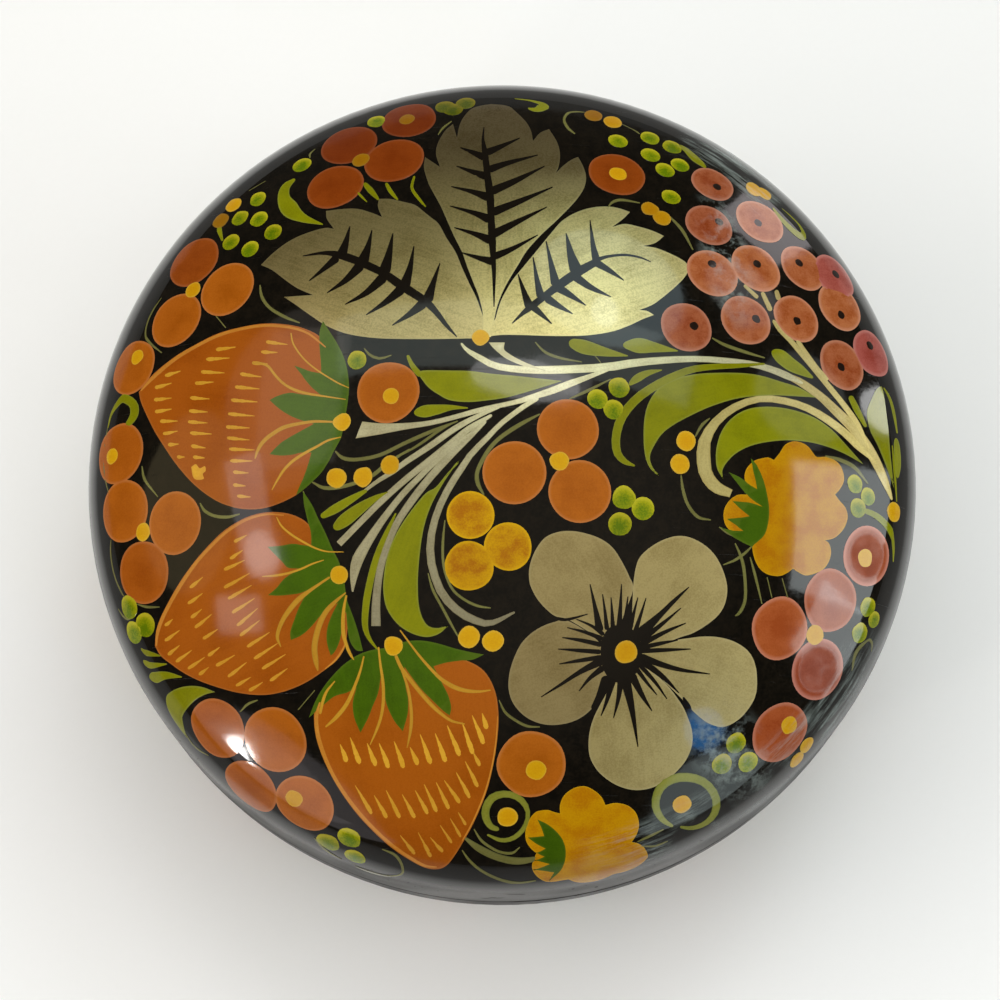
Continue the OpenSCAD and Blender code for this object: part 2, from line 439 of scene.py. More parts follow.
leaf_left = [
    [(484, 338)],
    [(483.5, 318), (480.6, 309.4), (476, 297), (469, 283), (462, 267.5), (455.5, 252), (446.5, 238),
     (438.8, 224), (431, 217.5), (423, 211), (415, 205), (404, 202), (390, 199)],
    [(379, 199), (378, 207)], [(382, 217), (372, 213), (358, 209), (343, 209)], [(326, 211), (327, 219)],
    [(334, 229), (325, 228), (310, 232), (295, 238), (282, 246), (271, 255)],
    [(261, 265), (272, 270), (284, 279), (297, 288)], [(313, 295), (298, 296)],
    [(284, 297), (296, 305), (310, 315), (327, 326), (348, 334), (375, 338), (405, 339), (440, 339)]]
leaf_right = [
    [(486, 337), (490, 327)],
    [(495.5, 318.5), (498.5, 308), (501.8, 299), (506.5, 290), (513, 279.5), (522, 268.5), (534, 254),
     (552, 232), (562, 221), (575, 213), (590, 208), (605, 206.5), (618, 208)],
    [(630, 212), (623, 219)], [(612, 227), (625, 224), (640, 227), (653, 231)], [(664, 236), (655, 243)],
    [(643, 246), (656, 248), (671, 254), (684, 261)],
    [(690, 268), (684, 278), (674, 288), (662, 298), (652, 305)], [(639, 310), (647, 311)],
    [(654, 315), (643, 319), (628, 326), (610, 332), (585, 335.5), (555, 336), (520, 335), (500, 335)]]
# The top leaf's tone falls from its root to its far end as painted shade.
finished("gold_leaves", [
    filled(leaf_top, lift=14e-6, tip=((482, 338), (491, 100)), tone=(1.0, 1.0, 0.95, 0.3, 0.05)),
    filled(leaf_left, lift=14e-6, tip=((478, 338), (261, 265))),
    filled(leaf_right, lift=14e-6, tip=((485, 337), (690, 268)))], 50e-6, gold)


# Each gold leaf has a black midrib and tapering side veins, drawn over the powder with a pointed brush.
# A stroke is modelled once as a flat strip with a raised middle, and each copy is bent along its own line.
def strip_blank(long_cuts, cross_cuts):
    """A flat strip from -1 to 1, cut closer near its two ends and along its edges."""
    bpy.ops.object.select_all(action="DESELECT")
    bpy.ops.mesh.primitive_grid_add(
        x_subdivisions=long_cuts, y_subdivisions=cross_cuts, size=2.0, calc_uvs=False)
    for point in bpy.context.object.data.vertices:
        point.co.x = -cos(pi * (point.co.x + 1) / 2)
        point.co.y = 0.78 * point.co.y / 0.5 if abs(point.co.y) < 0.6 else point.co.y
    return bpy.context.object


long_strip = strip_blank(34, 4)
short_strip = strip_blank(9, 2)
short_stroke = 34
hair = 2e-7


def copy_of(blank):
    """Another object of the same shape, with a mesh of its own."""
    again = bpy.data.objects.new(blank.name, blank.data.copy())
    scene.collection.objects.link(again)
    return again


def stroke(path, lift, strip=None, sheet=on_lid, square=None, tone=None):
    """One brush stroke along (x, y, width) points, rounded at its ends.
    Square gives the slant of an end where the brush was lifted flat."""
    course = flowing(path, 10)
    go = np.concatenate([[0], np.cumsum(np.hypot(*np.diff(course[:, :2], axis=0).T))])
    blank = strip or (long_strip if go[-1] > short_stroke else short_strip)
    flat = np.array([p.co for p in blank.data.vertices])
    at = (flat[:, 0] + 1) / 2 * go[-1]
    middle = np.stack([np.interp(at, go, course[:, k]) for k in (0, 1)], 1)
    width = np.maximum(np.interp(at, go, course[:, 2]), 0.03 * course[:, 2].max())
    slope = np.gradient(course[:, :2], go, axis=0)
    way = np.stack([np.interp(at, go, slope[:, k]) for k in (0, 1)], 1)
    way /= np.linalg.norm(way, axis=1)[:, None]
    end = (at if square is not None else np.minimum(at, go[-1] - at)) / (width / 2)
    width = width * np.sqrt(np.maximum(1 - (1 - np.clip(end, 0, 1)) ** 2, 0.004))
    across = flat[:, 1] * width / 2
    spots = middle + np.stack([way[:, 1], -way[:, 0]], 1) * across[:, None]
    if square:
        spots = spots + way * (square * flat[:, 1] * (at / go[-1]) ** 8)[:, None]
    film = copy_of(blank)
    lay(film, *sheet(spots), lift * np.where(np.abs(flat[:, 1]) > 0.9, 0.55, 1.0))
    return marked(film, np.stack([at, across, np.abs(flat[:, 1])], 1), tone)


def strokes(paths, lift, **how):
    """Strokes of one paint, each a hair above the last, so that none fight where they cross."""
    return [stroke(path, lift + hair * i, **how) for i, path in enumerate(paths)]


black_line = paint("black_line_paint", (20, 15, 9), (26, 21, 13), (11, 9, 5), rim_start=0.8)
veins_top = [
    [(484, 127, 1), (483, 140, 3), (485, 153, 6), (487, 172, 7), (490, 195, 8), (491, 215, 7),
     (492, 235, 8), (493, 255, 6), (494, 275, 4), (494, 307, 1)],
    [(486, 158, 9), (474, 153, 5), (460, 147.5, 1)], [(488, 177, 9), (473, 172, 5), (456, 166, 1)],
    [(490, 198, 10), (473, 192, 5), (451, 186.5, 1)], [(491, 220, 10), (474, 213, 5), (450, 206, 1)],
    [(492, 241, 10), (475, 234, 5), (454, 227.5, 1)], [(494, 262, 9), (479, 258, 5), (461, 252.5, 1)],
    [(486, 153, 8), (500, 147, 5), (520, 138, 1)], [(488, 170, 8), (508, 163, 5), (538, 155, 1)],
    [(490, 192, 9), (515, 181, 6), (545, 166, 1)], [(491, 213, 9), (518, 202, 6), (553, 187, 1)],
    [(492, 235, 9), (515, 223, 6), (547, 207, 1)], [(493, 257, 8), (512, 249, 5), (538, 235, 1)]]
veins_left = [
    [(303, 256, 1), (325, 253, 4), (343, 256, 8), (362, 263, 8), (383, 273, 8), (402, 286, 9),
     (425, 301, 8), (436, 312, 6), (447, 326, 4), (457, 337, 1)],
    [(341, 257, 12), (346, 242, 6), (350, 226, 1)], [(362, 264, 13), (368, 247, 6), (372, 230, 1)],
    [(384, 274, 13), (389, 254, 7), (393, 233, 1)], [(404, 288, 12), (410, 268, 6), (414, 246, 1)],
    [(427, 302, 12), (433, 284, 6), (440, 263, 1)], [(338, 257, 9), (325, 268, 5), (309, 281, 1)],
    [(362, 264, 11), (346, 280, 6), (327, 293, 1)], [(385, 276, 11), (366, 293, 6), (345, 304.5, 1)],
    [(403, 288, 11), (386, 302, 6), (366, 315, 1)], [(425, 302, 11), (410, 314, 6), (392, 325.5, 1)]]
veins_right = [
    [(512, 323.5, 1), (522, 314, 4), (532, 306, 7), (545, 296, 7), (562, 283, 9), (580, 271, 9),
     (598, 261, 7)],
    [(594, 261, 5), (608, 256.5, 3), (625, 255, 2.5), (640, 257.5, 2), (651, 262, 0.8)],
    [(595, 262, 8), (610, 271, 5), (624, 280.5, 1)], [(597, 263, 9), (593, 245, 5), (590, 220, 1)],
    [(577, 273, 14), (571, 255, 8), (566, 233, 1)], [(556, 286, 10), (552, 268, 6), (546, 241, 1)],
    [(541, 298, 9), (537, 280, 5), (533, 257, 1)], [(530, 308, 10), (525, 295, 6), (518, 274, 1)],
    [(573, 275, 9), (590, 287, 6), (611, 297, 1)], [(557, 287, 9), (570, 295, 6), (586, 305.5, 1)],
    [(545, 297, 9), (557, 305, 6), (573, 314, 1)], [(532, 306, 8), (541, 314, 5), (552, 324, 1)]]
leaf_veins = strokes(veins_top + veins_left + veins_right, lift=22e-6)
finished("leaf_veins", leaf_veins, 60e-6, black_line)


# The flower at the lower right has five round petals in a paler, duller metal powder. They are laid one by
# one from the flower's middle, and each overlaps the one before it a little.
petal_gold = paint("pale_gold_powder", (186, 166, 108), (190, 172, 118), (156, 136, 80), rim_start=0.6,
                   cloud=0.55, cloud_scale=190.0, streaks=0.2, grain=0.2, rough=0.42, metal=0.5, coat=0.4)
flower_middle = (626, 652)
petal_tones = (0.69, 0.91, 1.0, 0.96, 0.56)
petals = [
    ([[(614, 650), (622, 620), (633, 590), (629, 576), (621, 560), (612, 547), (600, 538.5), (586, 533.5),
     (572, 531), (558, 532), (546, 537), (538, 546), (532, 558), (529, 571), (530, 584), (536, 597),
     (544, 607), (555, 616), (568, 619.5), (592, 634)]], (566, 560)),
    ([[(630, 645), (632, 615), (633, 590)], [(634, 578), (636, 567), (640, 557), (650, 547.5), (663, 540),
     (677, 536), (690, 537.5), (703, 544), (714, 554), (722, 568), (727, 585), (726, 600), (720, 613),
     (708, 624), (693, 633), (681, 637), (655, 646)]], (695, 570)),
    ([[(640, 652), (660, 643), (690, 638), (705, 636.5), (720, 637.5), (735, 642), (748, 651), (755, 664),
     (757, 681), (755, 697), (746, 712), (735, 722), (722, 727), (708, 723), (695, 713), (681, 698),
     (655, 672)]], (735, 690)),
    ([[(625, 655), (608, 690), (600, 705), (594, 717), (590, 730), (588.5, 744), (590, 757), (597, 770),
     (608, 780), (621, 787), (635, 790), (649, 788.5), (662, 783), (675, 773), (686, 760), (692, 745),
     (692, 731), (688, 718), (680, 702), (660, 678)]], (640, 770)),
    ([[(612, 655), (590, 634), (566, 620), (556, 621.5), (543, 626), (531, 633.5), (521, 644), (514, 658),
     (509.5, 673), (508.5, 688), (512, 701), (520, 712), (531, 720), (545, 724.5), (560, 724.5), (574, 721),
     (586, 714), (595, 704), (605, 685)]], (530, 690))]
finished("flower_petals", [
    filled(runs, lift=14e-6 + 1e-6 * i, tip=(flower_middle, far), soft=7.0, tone=petal_tones[i])
    for i, (runs, far) in enumerate(petals)], 55e-6, petal_gold)


# The flower's heart is a black disc, painted over the roots of the petals. Fine black stamens are drawn out
# from it with the tip of the brush, pressed at the disc and lifted towards the petals' edges.
heart = [
    [(620, 624), (630, 627), (638, 636), (642, 648), (641, 662), (636, 674), (627, 682), (617, 683),
     (608, 678), (602, 667), (600, 653), (602, 639), (609, 628)]]
stamens = [
    [(600, 632, 9), (596, 612, 5), (590, 584, 1)], [(607, 630, 5), (605, 612, 3), (602.5, 594, 1)],
    [(613, 630, 5), (612, 612, 3), (611, 597, 1)], [(619, 629, 6), (620.5, 605, 3.5), (621.5, 584, 1)],
    [(624, 629, 5), (626, 612, 3), (628, 596, 1)], [(630, 630, 5), (634, 612, 3), (638, 597, 1)],
    [(635, 632, 5), (641, 614, 3), (646, 598, 1)],
    [(637, 637, 13), (660, 615, 6), (675, 600, 4), (689, 587, 1)],
    [(640, 641, 7), (662, 624, 4), (681, 608, 1)], [(640, 645, 6), (665, 632, 4), (686, 623, 1)],
    [(640, 648, 5), (660, 643.5, 4), (678, 640, 1)], [(640, 651, 5), (665, 650, 4), (691, 649, 1)],
    [(640, 656, 7), (660, 664, 6), (682, 670, 4), (710, 674, 1)],
    [(641, 660, 7), (663, 677, 5), (679, 693, 1)], [(639, 664, 5), (655, 682, 3.5), (667, 699, 1)],
    [(636, 668, 5), (648, 684, 3), (657, 695, 1)], [(631, 674, 9), (642, 695, 5), (652, 711, 1)],
    [(625, 678, 11), (632, 710, 6), (638, 747, 1)], [(621, 680, 7), (618, 700, 4), (613.5, 718, 1)],
    [(613, 678, 8), (607, 700, 4), (601, 716, 1)], [(608, 676, 12), (600, 696, 8), (592, 709, 4)],
    [(604, 667, 7), (590, 678, 4), (579, 691, 1)],
    [(603, 660, 9), (580, 672, 5), (560, 685, 3), (541, 697, 1)],
    [(602, 657, 5), (580, 660.5, 4), (559, 664, 1)], [(601, 652, 5), (580, 650.5, 4), (558, 649, 1)],
    [(602, 645, 5), (582, 640.5, 4), (562, 637.5, 1)], [(603, 639, 5), (586, 632.5, 3.5), (567, 627.5, 1)],
    [(604, 635, 5), (592, 626, 3), (576, 619, 1)], [(553, 618.5, 1.5), (567, 619.5, 3), (588, 614, 1)],
    [(683, 697, 2), (688, 706, 5), (692, 713, 1)]]
finished("flower_heart", [filled(heart, lift=24e-6, soft=4.0)] + strokes(stamens, lift=26e-6),
         65e-6, black_line)


# Stems in metal powder run in from the right, split above the middle and fan out to the left, each one pull
# of a full brush: thick where it was pressed, and cut off square where the brush was lifted flat. The powder
# is nearly white on the left, and golden on the right, where the rowan twigs branch off.
stem_pale = paint("pale_stem_powder", (226, 219, 176), (206, 196, 150), (196, 186, 142), rim_start=0.6,
                  cloud=0.5, streaks=0.4, grain=0.22, rough=0.37, metal=0.8)
stems = [
    [(803, 383.5, 2), (794, 379, 5.5), (785, 375, 7), (770, 369, 6.5), (745, 363, 6), (700, 359, 6),
     (660, 360.5, 7), (630, 363.5, 8), (609, 367, 8.5), (587, 368.5, 8), (565, 369.5, 8), (545, 370, 8),
     (520, 369.5, 7), (496, 366, 6.5), (480, 358, 6), (467, 350, 4), (461, 343, 2)],
    [(611, 368.5, 3), (587, 377.5, 5), (569, 384, 7), (552.6, 390.5, 7), (537, 395.5, 6), (520, 401, 5),
     (500, 405.5, 4.5), (480, 410, 5), (455, 417, 4.8), (430, 423, 5), (405, 426.3, 6.5), (380, 429, 11),
     (359, 430, 16.5)],
    [(538.5, 398, 4), (526, 405, 5), (514, 413.5, 5), (500, 424.5, 5), (486, 439, 5.5), (472, 453, 6),
     (463, 466, 6.5), (453, 481, 7), (443.5, 498, 7), (436, 516, 7), (431, 537, 7.5), (430.5, 557, 8),
     (435, 577, 8), (443, 595, 8.3), (457, 610, 8.3), (472, 619, 7.8), (490, 623.3, 6), (515, 612, 2)],
    [(500, 406.5, 3), (480, 415, 4.5), (455, 428.5, 6), (430, 446, 6), (405, 462.5, 5.5), (392.5, 472, 5),
     (375, 483, 3.8), (346, 506, 1)],
    [(492, 415, 3), (470, 428, 6), (450, 444, 6.5), (430, 460, 6.5), (405, 480, 6.3), (380, 502.5, 6.3),
     (362.5, 520, 6.3), (339, 544, 6.5)],
    [(472, 433, 3), (455, 445, 5), (435, 462, 5.5), (417.5, 479, 5.8), (402, 495, 6.2), (384, 518, 7),
     (369, 540, 9), (358, 559, 11.5), (354, 575, 8), (352.5, 592, 1.5)],
    [(486, 421, 3), (470, 436, 6), (449, 456.5, 7.5), (430, 477.5, 7.5), (413, 499, 7.5), (397, 523, 7),
     (387, 546, 6.8), (381, 566, 7), (377.5, 587, 7.5), (376, 606, 8.5), (376, 626, 9.5)]]
lifted_flat = {1: 3.7, 4: 0.0, 6: 0.0}
# Two stems are lighter at their roots, in the top band, and darker towards their far ends: painted sheen and
# shade.
stem_tones_and_shade = [1.0, 0.95, (1.0, 0.5), 1.0, 0.9, 0.9, (0.85, 0.6)]
hook = [
    [(488.8, 342.5)],
    [(504.7, 342.5), (504, 349), (507.3, 352.5), (514.4, 357), (524.4, 362), (536.5, 367)],
    [(547, 371.2), (530.5, 368), (518.4, 364.2), (506.3, 358.7), (498.3, 352.6), (492.3, 347)]]
finished("pale_stems", [
    stroke(path, lift=25e-6 + hair * i, square=lifted_flat.get(i), tone=stem_tones_and_shade[i])
    for i, path in enumerate(stems)] + [filled(hook, lift=27e-6, edge=0.5)], 60e-6, stem_pale)
stem_gold = paint("gold_stem_powder", (212, 194, 124), (196, 174, 104), (186, 164, 94), rim_start=0.6,
                  cloud=0.5, streaks=0.4, grain=0.22, rough=0.38, metal=0.6)
stems_right = [
    [(892, 500, 2), (886, 484, 6.5), (878, 466, 9), (868, 448, 10), (853, 428, 10), (836, 411, 9),
     (820, 396, 8), (800, 382, 7.5), (787, 376, 5), (776, 371.5, 1.5)],
    [(876, 464, 2), (869, 456, 4.5), (858, 446, 7), (845, 433, 7.5), (825, 418, 7.5), (805, 407, 7),
     (785, 401, 7), (765, 398.5, 6.5), (748, 401.5, 7), (730, 410, 8), (715, 423, 9), (705, 440, 12),
     (703.5, 457, 14), (706, 474, 13), (716, 487, 12), (731, 493.5, 8)],
    [(869, 449, 2), (864, 438, 4), (856, 422, 5.5), (843, 404, 5.5), (830, 388, 5.5), (815, 370, 5),
     (800, 352, 5), (790, 340, 5), (780, 330, 4.5), (773, 320, 3)]]
flat_ended = 1
right_tones = (0.7, 1.0, 0.9)
twigs = [
    [(828, 380, 5), (818, 370, 5), (805, 352, 4.5), (797, 340, 4)], [(771, 311, 5), (762, 292, 4)],
    [(758, 298, 4), (744, 285, 3)], [(779, 300, 5), (776, 290, 4)]]
finished("gold_stems", [
    stroke(path, lift=20e-6 + hair * i, square=0.0 if i == flat_ended else None, tone=right_tones[i])
    for i, path in enumerate(stems_right)] + strokes(twigs, lift=23e-6), 60e-6, stem_gold)


# Olive-green leaves grow from the stems in full, curved strokes, with shorter strokes like grass and drops
# among the berries. The broad ones are filled in, and the narrow ones are a single pull of the brush.
olive = paint("olive_green_paint", (132, 133, 6), (132, 136, 46), (112, 113, 2), rim_start=0.75, cloud=0.45,
              streaks=0.2)
olive_leaves = [
    ([[(659, 476), (650, 468), (645, 455), (643.5, 435), (645, 415), (650, 400), (660, 387), (675, 379),
     (690, 375), (710, 373), (740, 373), (760, 375.5), (782, 382), (800, 388)], [(816, 397.5), (790, 396),
     (770, 395.5), (740, 398), (715, 405), (696, 413), (675, 424), (662, 434), (654, 446), (650, 456),
     (652, 466)]], ((816, 397), (650, 440))),
    ([[(723, 479), (717, 468), (716, 452), (720, 435), (728, 422), (740, 412.5), (755, 407.5), (775, 407),
     (795, 410.5), (815, 418), (832, 430), (846, 445)], [(863, 464), (842, 452.5), (820, 444.5), (800, 441),
     (780, 440.5), (755, 444.5), (738, 452), (728, 461), (722.5, 470)]], ((863, 464), (720, 450))),
    ([[(460, 460), (447.5, 473), (436, 487), (425, 494), (408, 515), (395, 536), (387, 557), (383.5, 580),
     (383.8, 596), (387.5, 610), (397.5, 624), (411, 633), (426, 637), (438.5, 634)], [(448.5, 625.5),
     (438, 628), (429, 626.3), (423, 619), (419, 606), (417.8, 588), (418.3, 571), (420.3, 549), (424, 527),
     (430.5, 507), (440, 488.5), (450, 473)]], ((460, 460), (405, 625))),
    ([[(418, 374), (423, 370.5), (447, 370.5), (470, 371), (490, 373.5), (512, 375.5), (535, 378)],
     [(562, 381), (540, 388), (520, 394), (504, 398), (486, 400.5), (468, 402), (451, 400.5), (440, 395.5),
     (428, 387)]], ((560, 381), (420, 375))),
    ([[(873, 396), (876, 390), (881, 386.5), (887, 389), (888, 420), (890, 450)], [(894, 488), (886, 466),
     (878, 446), (870, 430), (867, 412)]], ((893, 486), (878, 390))),
    ([[(215, 692), (202, 687), (189, 686), (176, 689), (166, 696), (161, 706), (162, 718), (169, 731)],
     [(179, 744), (179.5, 730), (183, 715), (193, 702), (204, 695)]], ((213, 692), (178, 742)))]
small_from = 4
olive_strokes = [
    [(407.5, 355, 3), (410, 361, 4), (414, 368, 5.5), (421, 376, 6)],
    [(414, 413, 5), (424, 411.5, 12), (437, 409.5, 10), (452, 407.5, 5), (468, 408, 1)],
    [(321, 517, 5), (335, 509, 9), (350, 500, 7.5), (367, 490, 3)],
    [(334, 529, 7), (345, 520, 13), (360, 508.5, 11), (375, 498.5, 6), (388, 492, 1)],
    [(378, 650, 1.5), (369, 638, 4), (365, 625, 6), (366, 605, 7), (369, 587, 7), (374, 566, 6.8),
     (380, 548, 6), (388, 530, 4.5), (396, 513, 1.5)],
    [(681, 141, 4), (687, 147, 9), (695, 157, 9), (706, 168, 2)],
    [(218, 224, 6), (219.5, 231, 5), (222.5, 241, 2)],
    [(765, 364, 2), (738, 365.5, 5), (710, 367, 6), (690, 370, 7), (670, 378, 8), (655, 386, 8.5),
     (640, 396, 9), (628, 408, 9), (620, 421, 9), (616, 437, 8.5), (617, 452, 8), (624, 461, 6),
     (635, 466, 1.5)],
    [(629, 385, 3), (637, 378.5, 8), (648, 373, 6), (662, 370, 1)],
    [(623, 345, 5), (638, 345.5, 15), (655, 347.5, 10), (678, 351, 1)],
    [(569, 342, 8), (584, 347, 14), (605, 352, 9), (628, 356, 1)],
    [(772, 351, 6), (780, 356, 13), (790, 364, 13), (800, 370, 10), (813, 378, 2)],
    [(850, 396, 5), (857, 410, 6), (866, 427, 3)],
    [(889, 386, 2), (899, 396, 5), (904, 411, 6), (907, 432, 3)],
    [(903, 437, 7), (904, 447, 13), (904, 464, 13), (902, 478, 5)],
    [(894, 445, 2), (896, 470, 5), (900, 502, 2)],
    [(295, 179, 2), (286, 187, 8), (284, 198, 13), (290, 209, 18), (303, 218, 9), (323, 224.5, 1)],
    [(515, 88, 1.5), (530, 91, 3), (542, 97, 7), (543, 104, 13), (536, 109, 6), (528, 108, 2)],
    [(127, 426, 5), (134, 415, 8), (133, 404, 9), (122, 398, 9), (110, 403, 7), (100, 413, 4),
     (96, 426, 2)],
    [(777, 203, 3), (783, 215, 8), (794, 227, 10), (806, 232, 11), (812, 226, 6), (809, 215, 3),
     (800, 206, 2), (791, 199, 1)],
    [(138, 650, 3), (146, 653, 6), (161, 656, 1)], [(137, 664, 5), (146, 666, 8), (167, 664, 1)],
    [(142, 682, 6), (152, 679, 12), (165, 675.5, 8), (182, 677, 1)],
    [(864, 510, 5), (878, 517, 6), (890, 530, 6), (897, 548, 5), (899, 563, 2)],
    [(355.7, 190.4, 2), (361, 196, 2.2), (367, 202, 1)], [(364, 183, 4), (371, 191, 6), (379, 200, 2)],
    [(386, 183, 3), (391, 192, 4.2), (398, 200, 1.5)],
    [(414.5, 176, 2), (412, 188, 3), (419, 199, 3), (426, 207, 1.2)]]
broad_leaves = [
    filled(runs, lift=25e-6, tip=tip, step=3.0 if i >= small_from else 8.0)
    for i, (runs, tip) in enumerate(olive_leaves)]
finished("olive_leaves", broad_leaves + strokes(olive_strokes, lift=26e-6), 65e-6, olive)


# Thin grey-green tendrils fill the gaps between the motifs. They are drawn along the stems and round the
# berries in thinned paint, with the tip of the finest brush, and run out at both ends.
tendril_grey = paint("grey_green_line_paint", (116, 113, 62), (94, 94, 54), (98, 96, 44), rim_start=0.6,
                     streaks=0.3)


def fine_line(width, *points):
    """A fine line of even width that tapers at both ends."""
    last = len(points) - 1
    return [(x, y, width * (0.4 if i in (0, last) else 1.0)) for i, (x, y) in enumerate(points)]


tendrils = [
    fine_line(3.8, (312, 482), (325, 488), (345, 486), (370, 477), (388, 463), (410, 449)),
    fine_line(3.8, (335, 451), (343, 458), (357, 459.5), (380, 455), (405, 443), (430, 432), (458, 421)),
    fine_line(2.7, (400, 456), (420, 444), (440, 430), (455, 422)),
    fine_line(3.2, (260, 285), (262, 297), (270, 308), (285, 317), (300, 323)),
    fine_line(2.7, (157, 295), (147, 307), (142, 320), (143, 332), (150, 343), (162, 353)),
    fine_line(2.7, (142, 466), (145, 480), (158, 497)), fine_line(2.7, (216, 316), (226, 328)),
    fine_line(2.7, (243, 184), (262, 176)), fine_line(2.7, (312, 143), (308, 150), (310, 158)),
    fine_line(2.1, (452, 121), (443, 128), (438, 135)),
    fine_line(2.7, (575, 134), (568, 128), (564, 120), (568, 113), (576, 109), (586, 108)),
    fine_line(2.7, (622, 122), (640, 134)), fine_line(2.7, (608, 207), (613, 202), (622, 200), (640, 203)),
    fine_line(3.2, (668, 215), (682, 230), (693, 250)), fine_line(3.2, (611, 379), (587, 391), (569, 399)),
    fine_line(4.2, (540, 414), (520, 424.5), (501, 437), (490, 448), (482, 461), (477, 473), (478, 484),
     (484, 495)),
    fine_line(2.7, (364, 348), (370, 355), (380, 358.5), (392, 355)),
    fine_line(2.7, (535, 342), (545, 352), (560, 358), (582, 362)), fine_line(2.7, (592, 352), (601, 363)),
    fine_line(3.2, (695, 437), (702, 425), (710, 418)),
    fine_line(3.2, (681, 475), (683, 490), (688, 505), (698, 517), (711, 520)),
    fine_line(3.2, (712, 338), (725, 345), (745, 352), (765, 358)),
    fine_line(3.8, (825, 456), (840, 460), (855, 468), (868, 484)),
    fine_line(2.7, (107, 540), (104, 552), (105, 568), (110, 582), (118, 593), (124, 598)),
    fine_line(2.7, (137, 604), (147, 607), (160, 607)),
    fine_line(2.7, (106, 612), (112, 618), (120, 621), (128, 620)),
    fine_line(3.2, (200, 503), (205, 511), (215, 516), (228, 517), (240, 514)),
    fine_line(2.7, (445, 520), (443, 540), (443, 560), (446, 575), (453, 590), (465, 600), (478, 606),
     (491, 608)),
    fine_line(2.7, (428, 573), (433, 590), (442, 607), (450, 622), (460, 640)),
    fine_line(2.7, (315, 690), (298, 710)), fine_line(2.7, (240, 712), (248, 704), (258, 700)),
    fine_line(3.2, (303, 491), (309, 505)), fine_line(3.2, (313, 840), (317, 852), (325, 862), (337, 870)),
    fine_line(2.7, (382, 849), (395, 855), (402, 865), (402, 875), (395, 883), (382, 887), (365, 884),
     (350, 878)),
    fine_line(2.7, (499, 700), (505, 712), (515, 720), (527, 726), (540, 727)),
    fine_line(3.2, (735, 543), (742, 560), (745, 580), (745, 600), (740, 612), (735, 616)),
    fine_line(2.7, (723, 565), (735, 560), (745, 553), (753, 545)),
    fine_line(2.7, (750, 557), (755, 575), (762, 604)), fine_line(2.7, (767, 577), (772, 598)),
    fine_line(2.7, (782, 578), (788, 599)), fine_line(2.7, (719, 527), (730, 534), (752, 543)),
    fine_line(3.2, (852, 671), (855, 655), (862, 645), (872, 641), (880, 647), (882, 656)),
    fine_line(2.7, (96, 424), (93, 440), (92, 455), (95, 475), (105, 494)),
    fine_line(2.7, (179, 738), (185, 750), (195, 756), (206, 758)),
    fine_line(2.7, (474, 829), (481, 840), (490, 847), (500, 852), (512, 853), (520, 847)),
    fine_line(2.7, (462, 850), (470, 861), (482, 871), (500, 879.5), (518, 883), (536, 880.5)),
    fine_line(2.7, (637, 842), (650, 836), (664, 829)), fine_line(2.1, (640, 846), (655, 846), (668, 841)),
    fine_line(7, (465, 838), (480, 849), (500, 858), (520, 861), (545, 857))]
finished("tendrils", strokes(tendrils, lift=16e-6), 50e-6, tendril_grey)


# Orange berries are round dabs of opaque paint, a little lighter at the rim. The berry is modelled once as a
# disc that swells to the middle, and each copy is set on the lid with its own slight unevenness. Those by the
# far rim are given darker tones as painted shade, and those at the right are redder, two of them worn dull.
def dab_blank(sides, rings):
    """A disc of radius 1, cut into rings and closed to a point in the middle."""
    bpy.ops.object.select_all(action="DESELECT")
    bpy.ops.mesh.primitive_circle_add(vertices=sides, radius=1.0, fill_type="NGON", calc_uvs=False)
    bpy.ops.object.mode_set(mode="EDIT")
    bpy.ops.mesh.select_all(action="SELECT")
    reach = 1.0
    for ring in rings:
        bpy.ops.mesh.inset(thickness=(reach - ring) * cos(pi / sides))
        reach = ring
    bpy.ops.mesh.poke()
    bpy.ops.object.mode_set(mode="OBJECT")
    return bpy.context.object


berry_blank = dab_blank(36, (0.93, 0.68, 0.36))
dot_blank = dab_blank(18, (0.86,))
pixels_per_mm = 7


def dab(x, y, radius, lift, blank, sheet=on_lid, skin=lid_skin, uneven=0.012, tone=None, lean=0.0):
    """One round dab of paint of a given radius in millimetres, pressed on to the surface at a spot.
    Its deepest place leans so far from its middle."""
    centre, facing = sheet(np.array([[x, y]]))
    aside = np.cross(facing[0], (0.0, 1.0, 0.25))
    aside /= np.linalg.norm(aside)
    ahead = np.cross(facing[0], aside)
    flat = np.array([p.co for p in blank.data.vertices])
    reach, angle = np.hypot(flat[:, 0], flat[:, 1]), np.arctan2(flat[:, 1], flat[:, 0])
    wobble = 0.0
    for k in (2, 3, 4, 5):
        wobble = wobble + uneven / k ** 0.5 * chance.normal() * np.cos(k * angle + 6.3 * chance.random())
    size = radius * 1e-3 * (1 + wobble * reach)
    points = centre + (flat[:, :1] * aside + flat[:, 1:2] * ahead) * size[:, None]
    for _ in range(2):
        gap, facing = skin(points)
        points = points - facing * gap[:, None]
    film = copy_of(blank)
    lay(film, points, facing, lift * np.where(reach > 0.99, 0.5, 1.0 + 0.25 * (1 - reach ** 2)))
    deep = np.hypot(flat[:, 0], flat[:, 1] - lean) / (1 + 0.8 * lean)
    return marked(film, np.column_stack([flat[:, :2] * radius * pixels_per_mm, deep]), tone)


def dabs(spots, lift, blank, apart=0.0, which=None, tones=None, **how):
    """Dabs at (x, y, radius) spots, or at some of them, each so far above the last, some with a set tone."""
    which = range(len(spots)) if which is None else which
    return [dab(*spots[i], lift + apart * i, blank, tone=(tones or {}).get(i), **how) for i in which]


